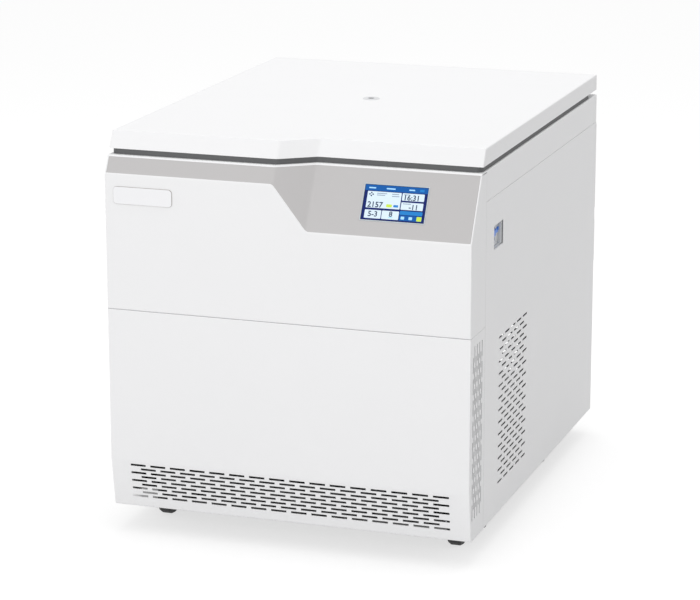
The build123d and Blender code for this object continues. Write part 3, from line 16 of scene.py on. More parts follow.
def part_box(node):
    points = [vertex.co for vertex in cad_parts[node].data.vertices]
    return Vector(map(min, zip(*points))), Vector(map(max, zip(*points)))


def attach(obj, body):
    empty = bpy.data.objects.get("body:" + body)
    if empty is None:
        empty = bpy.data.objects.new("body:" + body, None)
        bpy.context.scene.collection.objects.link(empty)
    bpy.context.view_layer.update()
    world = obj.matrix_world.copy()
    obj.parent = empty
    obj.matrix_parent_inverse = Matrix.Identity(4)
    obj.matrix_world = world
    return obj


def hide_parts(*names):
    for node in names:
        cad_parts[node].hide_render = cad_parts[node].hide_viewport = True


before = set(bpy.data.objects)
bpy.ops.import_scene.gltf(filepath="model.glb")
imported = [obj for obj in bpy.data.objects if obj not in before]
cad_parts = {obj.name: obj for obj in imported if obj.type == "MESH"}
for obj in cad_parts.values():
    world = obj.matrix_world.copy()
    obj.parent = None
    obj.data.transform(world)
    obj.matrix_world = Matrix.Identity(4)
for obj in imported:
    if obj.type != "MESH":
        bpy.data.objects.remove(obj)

log = logging.getLogger("centrifuge")

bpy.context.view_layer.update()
MM, MICRON = 0.001, 0.000001
WHITE = (1.0, 1.0, 1.0, 1.0)
CORNER_STEPS = 4
STRETCHES = ("Stretch X", "Stretch Y", "Stretch Z")
Triple = tuple[float, float, float]


def srgb(red: float, green: float, blue: float) -> Triple:
    """Turn display values into the linear colour that a shader socket takes.

    Args:
        red: Red from 0 to 255.
        green: Green from 0 to 255.
        blue: Blue from 0 to 255.

    Returns:
        The linear red, green and blue.
    """
    shares = [value / 255 for value in (red, green, blue)]
    return tuple(share / 12.92 if share <= 0.04045 else ((share + 0.055) / 1.055) ** 2.4
                 for share in shares)


def feed(tree: NodeTree, node: Node, inputs: dict[Any, Any]) -> None:
    """Set a node's inputs, or link them to other nodes.

    Args:
        tree: The node's tree.
        node: The node.
        inputs: A value or an output socket for each input, by name or number.
    """
    for name, value in inputs.items():
        if isinstance(value, NodeSocket):
            tree.links.new(value, node.inputs[name])
        else:
            node.inputs[name].default_value = value


def add_node(tree: NodeTree, kind: str, inputs: Optional[dict[Any, Any]] = None,
             **settings: Any) -> Node:
    """Add a node.

    Args:
        tree: The tree that gets it.
        kind: The node's type.
        inputs: What its inputs get, as feed() takes it.
        **settings: The node's own settings.

    Returns:
        The node.
    """
    node = tree.nodes.new(kind)
    for name, value in settings.items():
        setattr(node, name, value)
    feed(tree, node, inputs or {})
    return node


def calculate(tree: NodeTree, operation: str, *values: Any) -> NodeSocket:
    """Add a Math node on numbers or sockets and return its result."""
    return add_node(tree, "ShaderNodeMath", dict(enumerate(values)), operation=operation).outputs[0]


def new_group(name: str, kind: str, inputs: dict[str, Any], outputs: dict[str, str]
              ) -> tuple[NodeTree, NodeOutputs, Node]:
    """Start a node group with named sockets.

    Args:
        name: The group's name.
        kind: The tree's type.
        inputs: The default number, or the kind of socket, of each input.
        outputs: The kind of socket of each output.

    Returns:
        The tree, the sockets that bring its inputs, and the node that takes its outputs.
    """
    tree = bpy.data.node_groups.new(name, kind)
    for way, sockets in (("INPUT", inputs), ("OUTPUT", outputs)):
        for label, value in sockets.items():
            sort = value if isinstance(value, str) else "Float"
            made = tree.interface.new_socket(name=label, in_out=way,
                                             socket_type=f"NodeSocket{sort}")
            if value != sort:
                made.default_value = value
    return tree, add_node(tree, "NodeGroupInput").outputs, add_node(tree, "NodeGroupOutput")


def send_out(tree: NodeTree, instances: NodeSocket, material: Material, leave: Node) -> None:
    """End a Geometry Nodes tree: make its instances real and give them their material.

    Args:
        tree: The tree.
        instances: The socket with the instances.
        material: Their material.
        leave: The node that takes the tree's outputs.
    """
    real = add_node(tree, "GeometryNodeRealizeInstances", {"Geometry": instances})
    paint = add_node(tree, "GeometryNodeSetMaterial",
                     {"Geometry": real.outputs["Geometry"], "Material": material})
    feed(tree, leave, {"Geometry": paint.outputs["Geometry"]})


def add_piece(name: str, data: ID) -> Object:
    """Put a mesh, lamp or camera in the scene as an object at the origin.

    Args:
        name: The object's name.
        data: Its mesh or other data.

    Returns:
        The object.
    """
    piece = bpy.data.objects.new(name, data)
    bpy.context.scene.collection.objects.link(piece)
    return piece


def join_loops(work: BMesh, first: Sequence[BMVert], second: Sequence[BMVert]) -> list[BMFace]:
    """Join two loops of as many vertices with a band of faces.

    Args:
        work: The mesh in work.
        first: One loop.
        second: The other.

    Returns:
        The faces.
    """
    return [work.faces.new((first[here - 1], second[here - 1], second[here], first[here]))
            for here in range(len(first))]


def keep_mesh(work: BMesh, name: str) -> Mesh:
    """Turn a closed mesh in work into a named mesh.

    Args:
        work: The mesh in work, freed afterwards.
        name: The new mesh's name.

    Returns:
        The mesh, with its faces outwards.
    """
    bmesh.ops.recalc_face_normals(work, faces=work.faces)
    mesh = bpy.data.meshes.new(name)
    work.to_mesh(mesh)
    work.free()
    return mesh


def made_real(holder: Object) -> Mesh:
    """Return a plain mesh of an object's letters or modifiers."""
    graph = bpy.context.evaluated_depsgraph_get()
    return bpy.data.meshes.new_from_object(holder.evaluated_get(graph))


def run_nodes(carrier: Object, tree: NodeTree, values: dict[str, Any]) -> None:
    """Run a Geometry Nodes tree on an object and keep the result as its plain mesh.

    Args:
        carrier: The object.
        tree: The tree, removed afterwards.
        values: A value for each of its own inputs, by name.
    """
    modifier = carrier.modifiers.new(tree.name, "NODES")
    modifier.node_group = tree
    for item in tree.interface.items_tree:
        if item.item_type == "SOCKET" and item.in_out == "INPUT" and item.name in values:
            modifier[item.identifier] = values[item.name]
    mesh = made_real(carrier)
    carrier.modifiers.clear()
    carrier.data = mesh
    bpy.data.node_groups.remove(tree)


def rounded_rectangle(left: float, right: float, low: float, high: float, radius: float
                      ) -> list[tuple[float, float]]:
    """Trace a rectangle with rounded corners.

    Args:
        left: Its lowest value across.
        right: Its highest value across.
        low: Its lowest value upwards.
        high: Its highest value upwards.
        radius: Corner radius.

    Returns:
        Its points, anticlockwise.
    """
    centres = ((right - radius, high - radius), (left + radius, high - radius),
               (left + radius, low + radius), (right - radius, low + radius))
    points = []
    for quarter, (across, up) in enumerate(centres):
        for step in range(CORNER_STEPS + 1):
            angle = math.radians(90 * (quarter + step / CORNER_STEPS))
            points.append((across + radius * math.cos(angle), up + radius * math.sin(angle)))
    return points


class Effect(Enum):
    """A shader node group that several finishes share, with the usual value of each input."""

    GRAIN = ("fine_grain", {"Scale": 900.0, "Contrast": 0.04})
    BRUSHED = ("brushed_lines", dict(zip(STRETCHES, (40.0, 40.0, 2000.0)), Contrast=0.25))
    HANDLING = ("handling_marks", {"Base": 0.4, "Spread": 0.1})


def object_place(tree: NodeTree) -> NodeSocket:
    """Return the Object coordinates."""
    return add_node(tree, "ShaderNodeTexCoord").outputs["Object"]


def noise(tree: NodeTree, place: NodeSocket, scale: Any, detail: float) -> NodeSocket:
    """Return a noise of nought to one."""
    return add_node(tree, "ShaderNodeTexNoise",
                    {"Vector": place, "Scale": scale, "Detail": detail}).outputs["Fac"]


def stray(tree: NodeTree, share: NodeSocket, amount: Any, base: Any) -> NodeSocket:
    """Return a value that strays from a base by a share of the noise."""
    centred = calculate(tree, "SUBTRACT", share, 0.5)
    return calculate(tree, "MULTIPLY_ADD", centred, amount, base)


@cache
def group_of(effect: Effect) -> NodeTree:
    """Return an effect's node group, built on first use.

    The grain and the brushed lines give a height for bump and a shade near one. The marks of
    handling and cleaning are broad and faint, and shift the roughness.

    Args:
        effect: The effect.

    Returns:
        Its group.
    """
    name, inputs = effect.value
    outputs = ("Roughness",) if effect is Effect.HANDLING else ("Height", "Shade")
    tree, entry, leave = new_group(name, "ShaderNodeTree", inputs, dict.fromkeys(outputs, "Float"))
    place = object_place(tree)
    if effect is Effect.HANDLING:
        marks = noise(tree, place, scale=18.0, detail=5.0)
        feed(tree, leave, {"Roughness": stray(tree, marks, entry["Spread"], entry["Base"])})
        return tree
    if effect is Effect.GRAIN:
        height = noise(tree, place, entry["Scale"], detail=2.0)
        broad = noise(tree, place, scale=7.0, detail=3.0)
    else:
        factors = add_node(tree, "ShaderNodeCombineXYZ",
                           {index: entry[label] for index, label in enumerate(STRETCHES)})
        stretched = add_node(tree, "ShaderNodeVectorMath", {0: place, 1: factors.outputs[0]},
                             operation="MULTIPLY")
        height = broad = noise(tree, stretched.outputs[0], scale=1.0, detail=3.0)
    feed(tree, leave, {"Height": height, "Shade": stray(tree, broad, entry["Contrast"], 1.0)})
    return tree


@dataclass(frozen=True)
class Finish:
    """One surface finish, as the shop would specify it.

    Attributes:
        name: The material's name.
        colour: Linear base colour.
        roughness: Mean roughness.
        metallic: One for bare metal, nought otherwise.
        grain: Fineness of the grain, in cycles a metre.
        depth: Depth of the grain in micrometres.
        contrast: Share by which the colour varies.
        spread: Share by which the roughness varies.
        brushed: Stretch of the brushed lines along X, Y and Z, or None for a plain grain.
        coat: Weight of a clear coat.
        glow: Strength of a lit display.
        specular: Specular level.
    """

    name: str
    colour: Triple
    roughness: float = 0.4
    metallic: float = 0.0
    grain: float = 900.0
    depth: float = 20.0
    contrast: float = 0.03
    spread: float = 0.08
    brushed: Optional[Triple] = None
    coat: float = 0.0
    glow: float = 0.0
    specular: float = 0.5

    def build(self) -> Material:
        """Make the material, with its texture in Object coordinates.

        Returns:
            The material.
        """
        material = bpy.data.materials.new(self.name)
        material.use_nodes = True
        tree = material.node_tree
        effect, sizes = Effect.GRAIN, {"Scale": self.grain}
        if self.brushed:
            effect, sizes = Effect.BRUSHED, dict(zip(STRETCHES, self.brushed))
        texture = add_node(tree, "ShaderNodeGroup", {**sizes, "Contrast": self.contrast},
                           node_tree=group_of(effect)).outputs
        handling = add_node(tree, "ShaderNodeGroup",
                            {"Base": self.roughness, "Spread": self.spread},
                            node_tree=group_of(Effect.HANDLING)).outputs
        tint = add_node(tree, "ShaderNodeVectorMath", {0: self.colour, "Scale": texture["Shade"]},
                        operation="SCALE").outputs[0]
        bump = add_node(tree, "ShaderNodeBump",
                        {"Distance": self.depth * MICRON, "Height": texture["Height"]}).outputs
        shader = tree.nodes["Principled BSDF"]
        feed(tree, shader, {
            "Metallic": self.metallic, "Coat Weight": self.coat, "Base Color": tint,
            "Specular IOR Level": self.specular, "Normal": bump["Normal"],
            "Roughness": handling["Roughness"]})
        if self.glow:
            feed(tree, shader, {"Emission Color": tint, "Emission Strength": self.glow})
        return material


@dataclass(frozen=True)
class LitFinish(Finish):
    """One colour of the lit display, with the gloss of its cover."""

    roughness: float = 0.3
    depth: float = 0.0
    contrast: float = 0.04
    glow: float = 0.45
    specular: float = 0.2


WHITE_PAINT = Finish(
    "white_powder_coat", srgb(240, 240, 241), 0.42, grain=1500.0, depth=12.0, contrast=0.012)
GREY_PANEL = Finish(
    "grey_panel_film", srgb(191, 189, 189), 0.38, grain=1800.0, depth=8.0, contrast=0.015)
BADGE_FACE = Finish(
    "badge_enamel", srgb(243, 243, 245), 0.22, grain=1500.0, depth=3.0, contrast=0.01, coat=0.3)
# Painted shade: the rim's darker grey-brown stands partly for the edge shadow round the badge
# plate.
BADGE_RIM_PAINTED_SHADE = Finish(
    "badge_rim_painted_shade", srgb(168, 164, 160), 0.3, metallic=0.6, contrast=0.04,
    brushed=(900.0, 60.0, 900.0), depth=4.0)
BEZEL = Finish("screen_bezel", srgb(196, 204, 210), 0.35, grain=2400.0, depth=8.0, contrast=0.02)
BLACK_PLASTIC = Finish("black_plastic", srgb(28, 29, 32), 0.45, contrast=0.06)
DARK_GLASS = Finish(
    "dark_glass", srgb(10, 11, 14), 0.06, contrast=0.02, depth=0.0, spread=0.02, coat=0.4)
RUBBER = Finish("dark_rubber", srgb(66, 67, 68), 0.62, grain=2600.0, depth=30.0, contrast=0.08)
STAINLESS = Finish(
    "brushed_stainless", srgb(196, 197, 199), 0.28, metallic=1.0, contrast=0.12,
    brushed=(30.0, 30.0, 2600.0), depth=6.0)
PLATED = Finish(
    "zinc_plate", srgb(176, 179, 184), 0.34, metallic=1.0, contrast=0.08, grain=600.0, depth=6.0)
BLACK_STEEL = Finish("black_enamel", srgb(32, 33, 35), 0.34, contrast=0.05, grain=700.0, coat=0.15)
LINER_PLASTIC = Finish("moulded_liner", srgb(214, 215, 217), 0.48, grain=2200.0, contrast=0.02)
FOAM = Finish("rigid_foam", srgb(226, 214, 176), 0.9, grain=420.0, depth=400.0, contrast=0.12)
ALUMINIUM = Finish(
    "turned_aluminium", srgb(205, 207, 210), 0.3, metallic=1.0, contrast=0.08,
    brushed=(25.0, 25.0, 1900.0), depth=5.0)
CAST_ALUMINIUM = Finish(
    "cast_aluminium", srgb(186, 189, 193), 0.42, metallic=1.0, contrast=0.08, grain=1300.0)
COPPER = Finish(
    "copper_tube", srgb(206, 132, 92), 0.3, metallic=1.0, contrast=0.15, grain=160.0, depth=10.0)
LIGHT_PLASTIC = Finish("light_grey_plastic", srgb(214, 216, 218), 0.45, grain=2400.0, contrast=0.02)
BLUE_PLASTIC = Finish("blue_toggle", srgb(74, 132, 228), 0.35, grain=2400.0, depth=10.0)
GASKET = Finish("lid_gasket", srgb(88, 89, 90), 0.6, grain=2600.0, contrast=0.06)
TREAD = Finish("wheel_rubber", srgb(24, 24, 25), 0.55, grain=1800.0, depth=40.0, contrast=0.08)

SCREEN_NAVY = LitFinish("screen_navy", srgb(6, 26, 88), contrast=0.08)
SCREEN_BLUE = LitFinish("screen_blue", srgb(10, 78, 146), contrast=0.08)
SCREEN_SKY = LitFinish("screen_sky", srgb(30, 112, 178), contrast=0.06)
SCREEN_PALE = LitFinish("screen_pale", srgb(150, 196, 232), glow=0.5)
SCREEN_WHITE = LitFinish("screen_white", srgb(208, 224, 236), glow=0.2, contrast=0.03)
SCREEN_LIME = LitFinish("screen_lime", srgb(186, 212, 74), glow=0.3)
SCREEN_GREY = LitFinish("screen_grey", srgb(134, 150, 168), glow=0.2)
SCREEN_INK = LitFinish("screen_ink", srgb(36, 56, 84), glow=0.1)

NODE_FINISHES: dict[str, Finish] = {
    node: finish
    for finish, nodes in (
        (PLATED, "hinge_bases lock_housings motor_plate posts_and_rails bulkhead fan_shroud "
                 "caster_plates hinge_leaves lid_strikers drive_shaft lock_hook_left "
                 "lock_hook_right caster_fork_front_left caster_fork_front_right"),
        (BLACK_STEEL, "guard_ring_shelf motor_housing base_frame compressor fan_motor"),
        (CAST_ALUMINIUM, "inverter rotor_yoke bucket_1 bucket_2 bucket_3 bucket_4"),
        (BLACK_PLASTIC, "inlet_gland levelling_feet rotor_nut fan_blades"),
        (TREAD, "caster_wheel_front_left caster_wheel_front_right caster_wheel_rear_left "
                "caster_wheel_rear_right"),
        (RUBBER, "shaft_boot rubber_mounts chamber_seal"),
        (LINER_PLASTIC, "lid_liner port_ring"),
        (LIGHT_PLASTIC, "control_box circuit_breaker"),
        (BLUE_PLASTIC, "breaker_handle test_button"),
        (DARK_GLASS, "port_window touch_screen"),
        (GASKET, "deck_gasket"),
        (STAINLESS, "chamber_bowl"),
        (FOAM, "insulation_jacket"),
        (ALUMINIUM, "condenser"),
        (COPPER, "refrigerant_circuit"),
        (BEZEL, "screen_frame"),
    )
    for node in nodes.split()
}


@cache
def material_of(finish: Finish) -> Material:
    """Return a finish's material, built on first use."""
    return finish.build()


def dress(piece: Object, finish: Finish) -> None:
    """Give a piece one finish all over."""
    piece.data.materials.clear()
    piece.data.materials.append(material_of(finish))


@dataclass
class SheetCover:
    """A folded sheet cover with rounded bends and even shading.

    Attributes:
        node: The CAD node that it stands for.
        piece: The name of the rounded piece.
        slot: The record's material slot; not used.
        finish: Its finish.
        body: The body that it rides on.
        bend_radius: Outer radius of the bends.
        bend_steps: Segments across a bend.
        bend_room: How far, in bend radii, both faces of a bend have to reach from it.
        room_checks: Where along a bend this is checked, as shares of its length.
        least_length: Length of the shortest bend.
        least_turn: Least turn of a bend in degrees.
        most_turn: Largest turn of a bend in degrees.
        flat_turn: Turn in degrees up to which two faces are one.
        sharp_turn: Turn in degrees from which an edge is shaded sharp.
        plain_area: Smallest face, in square metres, that counts as plain.
        least_area: Smallest face, in square metres, that counts for the shading.
        merge: Distance at which two vertices are one.
    """

    node: str
    piece: str
    slot: str = "white_paint"
    finish: Finish = WHITE_PAINT
    body: str = "cabinet"
    bend_radius: float = 2.0 * MM
    bend_steps: int = 4
    bend_room: float = 1.4
    room_checks: tuple[float, ...] = (0.1, 0.3, 0.5, 0.7, 0.9)
    least_length: float = 20.0 * MM
    least_turn: float = 4.0
    most_turn: float = 100.0
    flat_turn: float = 0.6
    sharp_turn: float = 26.0
    plain_area: float = 0.002
    least_area: float = 1e-10
    merge: float = 0.01 * MM

    def build(self) -> Object:
        """Make the rounded cover from a copy of its node.

        Returns:
            The cover, riding on its body.
        """
        piece = add_piece(self.piece, self._folded_mesh())
        dress(piece, self.finish)
        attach(piece, self.body)
        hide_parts(self.node)
        return piece

    def _folded_mesh(self) -> Mesh:
        """Copy the node's mesh with whole faces, and round its outer bends.

        Returns:
            The mesh, with its own normals.
        """
        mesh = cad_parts[self.node].data.copy()
        mesh.name = self.piece
        work = bmesh.new()
        work.from_mesh(mesh)
        bmesh.ops.remove_doubles(work, verts=work.verts, dist=self.merge)
        bmesh.ops.dissolve_limit(work, angle_limit=math.radians(self.flat_turn), verts=work.verts,
                                 edges=work.edges)
        bends = [edge for edge in work.edges if self._is_bend(edge)]
        if bends and self.bend_radius:
            bmesh.ops.bevel(work, geom=bends, offset=self.bend_radius, offset_type="OFFSET",
                            segments=self.bend_steps, profile=0.5, affect="EDGES",
                            clamp_overlap=False)
        for face in work.faces:
            face.smooth = True
        work.normal_update()
        work.verts.ensure_lookup_table()
        normals = self._corner_normals(work)
        work.to_mesh(mesh)
        work.free()
        mesh.normals_split_custom_set(normals)
        return mesh

    def _is_bend(self, edge: BMEdge) -> bool:
        """Tell whether an edge is an outer bend with room for its radius in both faces.

        Args:
            edge: The edge.

        Returns:
            True if it is one.
        """
        return (len(edge.link_faces) == 2 and edge.is_convex
                and edge.calc_length() >= self.least_length
                and self.least_turn < math.degrees(edge.calc_face_angle(0.0)) < self.most_turn
                and all(self._has_room(corner) for corner in edge.link_loops))

    def _has_room(self, corner: BMLoop) -> bool:
        """Tell whether a face reaches far enough from one of its edges.

        Args:
            corner: The face's corner at which the edge starts.

        Returns:
            True if it does along the whole edge.
        """
        start, end = corner.vert.co, corner.link_loop_next.vert.co
        inward = corner.face.normal.cross((end - start).normalized())
        depth = inward * self.bend_room * self.bend_radius
        return all(bmesh.geometry.intersect_face_point(corner.face, start.lerp(end, share) + depth)
                   for share in self.room_checks)

    def _corner_normals(self, work: BMesh) -> list[Vector]:
        """Weigh the faces round each corner by area, up to the sharp edges.

        Args:
            work: The mesh in work.

        Returns:
            One normal for each face corner, in the mesh's order.
        """
        areas = {face: face.calc_area() for face in work.faces}
        soft = {edge for edge in work.edges if not self._is_sharp(edge, areas)}
        normals = []
        for face in work.faces:
            for corner in face.loops:
                fan = [face]
                for here in fan:
                    for edge in corner.vert.link_edges:
                        if edge in soft and here in edge.link_faces:
                            fan += [other for other in edge.link_faces
                                    if other not in fan and areas[other] > self.least_area]
                total = sum((near.normal * areas[near] for near in fan), Vector())
                normals.append(total.normalized() if total.length else face.normal.copy())
        return normals

    def _is_sharp(self, edge: BMEdge, areas: dict[BMFace, float]) -> bool:
        """Tell whether the shading breaks at an edge.

        Args:
            edge: The edge.
            areas: The area of each face.

        Returns:
            True for a cut edge, and for a crease between two plain faces.
        """
        plain = all(areas[face] > self.plain_area for face in edge.link_faces)
        turn = math.degrees(edge.calc_face_angle(math.pi))
        return turn > (self.least_turn if plain else self.sharp_turn)


@dataclass
class BadgePlate(SheetCover):
    """Bare badge plate: a white face in a bevelled metal rim, whose darker grey is partly a painted
    edge shadow.

    Attributes:
        rim: The finish of the bevelled rim, darker grey metal that also stands in for a painted
            edge shadow.
        flat: How squarely a face looks forward to count as the plate's face.
    """

    slot: str = "silver_plate"
    finish: Finish = BADGE_FACE
    bend_radius: float = 0.0
    rim: Finish = BADGE_RIM_PAINTED_SHADE
    flat: float = 0.99

    def build(self) -> Object:
        """Make the plate and give its rim a darker finish of its own, partly a painted edge shadow.

        Returns:
            The plate, riding on its body.
        """
        piece = super().build()
        # Painted shade: the rim faces get the darker finish, which partly stands for the plate's
        # edge shadow.
        piece.data.materials.append(material_of(self.rim))
        for polygon in piece.data.polygons:
            polygon.material_index = 0 if -polygon.normal.y > self.flat else 1
        return piece


@dataclass(frozen=True)
class Tile:
    """A rounded field of the display's picture.

    Attributes:
        left: Left edge as a share of the screen's width.
        right: Right edge as a share of the screen's width.
        top: Top edge as a share of the screen's height, from the top.
        bottom: Bottom edge as a share of the screen's height, from the top.
        finish: Its lit colour.
        layer: Layer above the glass, from one.
        corner: Corner radius in metres.
    """

    left: float
    right: float
    top: float
    bottom: float
    finish: Finish
    layer: int = 2
    corner: float = 1.2 * MM


@dataclass(frozen=True)
class Digits:
    """A line of digits on the display.

    Attributes:
        text: The digits.
        left: Left edge as a share of the screen's width.
        base: Base line as a share of the screen's height, from the top.
        height: Height of the digits as a share of the screen's height.
        finish: Their lit colour.
    """

    text: str
    left: float
    base: float
    height: float
    finish: Finish = SCREEN_INK


@dataclass
class Display:
    """The lit picture on the touch screen: a header, value tiles with digits and a row of keys.

    Attributes:
        node: The CAD node with the glass.
        layer_step: Height of one layer above the last.
        skin: Thickness of a layer.
        margin: Dark border between the picture and the glass edge.
        side_to_corner: Least ratio of a tile's side to its corner radius.
        digit_layer: Layer of the digits.
        digit_steps: Segments in a digit's curve.
        digit_share: Height of a digit as a share of its font size.
        stroke: Share of the font size by which each stroke grows on either side.
        lines: The lines of digits.
    """

    node: str = "touch_screen"
    layer_step: float = 0.05 * MM
    skin: float = 0.03 * MM
    margin: float = 0.6 * MM
    side_to_corner: float = 2.01
    digit_layer: int = 4
    digit_steps: int = 3
    digit_share: float = 0.7
    stroke: float = 0.018
    lines: tuple[Digits, ...] = (
        Digits("2157", 0.07, 0.635, 0.155),
        Digits("16:31", 0.625, 0.38, 0.15),
        Digits("-11", 0.73, 0.64, 0.145),
        Digits("5-3", 0.1, 0.9, 0.15),
        Digits("8", 0.435, 0.875, 0.145))

    def build(self) -> Object:
        """Build every tile and digit as one piece on the glass.

        Returns:
            The picture, riding on the cabinet.
        """
        place, width, height = self._glass_plane()
        work = bmesh.new()
        tiles = self._tiles()
        finishes = list(dict.fromkeys(field.finish for field in (*tiles, *self.lines)))
        for tile in tiles:
            self._add_tile(work, tile, width, height, finishes.index(tile.finish))
        for line in self.lines:
            self._add_digits(work, line, width, height, finishes.index(line.finish))
        mesh = keep_mesh(work, "screen_picture")
        mesh.transform(place)
        for finish in finishes:
            mesh.materials.append(material_of(finish))
        piece = add_piece("screen_picture", mesh)
        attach(piece, "cabinet")
        return piece

    def _glass_plane(self) -> tuple[Matrix, float, float]:
        """Find the outward face of the glass.

        Returns:
            The matrix from picture coordinates, with its origin at the top left corner, and the
            picture's width and height.
        """
        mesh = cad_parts[self.node].data
        front = max(mesh.polygons, key=lambda p: (round(-p.normal.y, 3), p.area))
        outward = front.normal.normalized()
        right = Vector((1.0, 0.0, 0.0))
        up = outward.cross(right)
        level = max(vertex.co.dot(outward) for vertex in mesh.vertices)
        corners = [v.co for v in mesh.vertices if level - v.co.dot(outward) < self.layer_step]
        (left, far_right), (low, high) = (
            (min(c.dot(way) for c in corners) + self.margin,
             max(c.dot(way) for c in corners) - self.margin) for way in (right, up))
        origin = right * left + up * high + outward * level
        axes = Matrix((right, up, outward)).transposed().to_4x4()
        return Matrix.Translation(origin) @ axes, far_right - left, high - low

    @staticmethod
    def _tiles() -> list[Tile]:
        """List the picture's fields.

        Returns:
            The fields, from the ground up.
        """
        fields = [
            Tile(0.0, 1.0, 0.0, 1.0, SCREEN_NAVY, 1, 0.5 * MM),
            Tile(0.0, 1.0, 0.0, 0.165, SCREEN_BLUE, 2, 0.5 * MM),
            Tile(0.05, 0.59, 0.185, 0.655, SCREEN_WHITE),
            Tile(0.605, 0.955, 0.185, 0.395, SCREEN_WHITE),
            Tile(0.605, 0.955, 0.445, 0.655, SCREEN_WHITE),
            Tile(0.046, 0.31, 0.715, 0.955, SCREEN_WHITE),
            Tile(0.322, 0.592, 0.715, 0.955, SCREEN_WHITE),
            Tile(0.604, 0.962, 0.69, 0.8, SCREEN_SKY),
            Tile(0.604, 0.962, 0.815, 0.965, SCREEN_BLUE),
            Tile(0.88, 0.958, 0.83, 0.955, SCREEN_LIME, 3),
            Tile(0.372, 0.463, 0.53, 0.615, SCREEN_LIME, 3),
            Tile(0.486, 0.562, 0.54, 0.605, SCREEN_SKY, 3, 0.6 * MM),
            Tile(0.63, 0.685, 0.85, 0.93, SCREEN_PALE, 3, 0.8 * MM),
            Tile(0.755, 0.81, 0.85, 0.93, SCREEN_PALE, 3, 0.8 * MM),
            Tile(0.87, 0.94, 0.055, 0.12, SCREEN_SKY, 3, 0.8 * MM),
            Tile(0.43, 0.5, 0.885, 0.915, SCREEN_PALE, 3, 0.4 * MM),
        ]
        for left, right, top in ((0.2, 0.36, 0.225), (0.2, 0.33, 0.275), (0.44, 0.55, 0.225),
                                 (0.44, 0.56, 0.285), (0.63, 0.72, 0.215), (0.63, 0.76, 0.475)):
            fields.append(Tile(left, right, top, top + 0.022, SCREEN_GREY, 3, 0.3 * MM))
        for left, right in ((0.06, 0.17), (0.34, 0.48), (0.7, 0.79)):
            fields.append(Tile(left, right, 0.07, 0.105, SCREEN_PALE, 3, 0.4 * MM))
        for column, row in ((0, 1), (1, 0), (1, 2), (2, 1)):
            left, top = 0.075 + 0.026 * column, 0.21 + 0.042 * row
            fields.append(Tile(left, left + 0.022, top, top + 0.038, SCREEN_INK, 3, 0.5 * MM))
        return fields

    def _add_tile(self, work: BMesh, tile: Tile, width: float, height: float, index: int) -> None:
        """Add a tile as a thin plate.

        Args:
            work: The mesh in work.
            tile: The tile.
            width: The picture's width.
            height: The picture's height.
            index: Material index.
        """
        left, right = tile.left * width, tile.right * width
        low, high = -tile.bottom * height, -tile.top * height
        radius = min(tile.corner, min(right - left, high - low) / self.side_to_corner)
        outline = rounded_rectangle(left, right, low, high, radius)
        top = tile.layer * self.layer_step
        upper, lower = ([work.verts.new((across, up, level)) for across, up in outline]
                        for level in (top, top - self.skin))
        for face in (work.faces.new(upper), work.faces.new(lower[::-1]),
                     *join_loops(work, upper, lower)):
            face.material_index = index

    def _add_digits(self, work: BMesh, line: Digits, width: float, height: float,
                    index: int) -> None:
        """Add a line of digits.

        Args:
            work: The mesh in work.
            line: The digits and their place.
            width: The picture's width.
            height: The picture's height.
            index: Material index.
        """
        curve = bpy.data.curves.new("digits", "FONT")
        curve.body = line.text
        curve.size = line.height * height / self.digit_share
        curve.extrude = self.skin / 2
        curve.offset = self.stroke * curve.size
        curve.resolution_u = self.digit_steps
        holder = add_piece("digits", curve)
        mesh = made_real(holder)
        bpy.data.objects.remove(holder)
        bpy.data.curves.remove(curve)
        mesh.transform(Matrix.Translation((line.left * width, -line.base * height,
                                           self.digit_layer * self.layer_step)))
        for polygon in mesh.polygons:
            polygon.material_index = index
        work.from_mesh(mesh)
        bpy.data.meshes.remove(mesh)


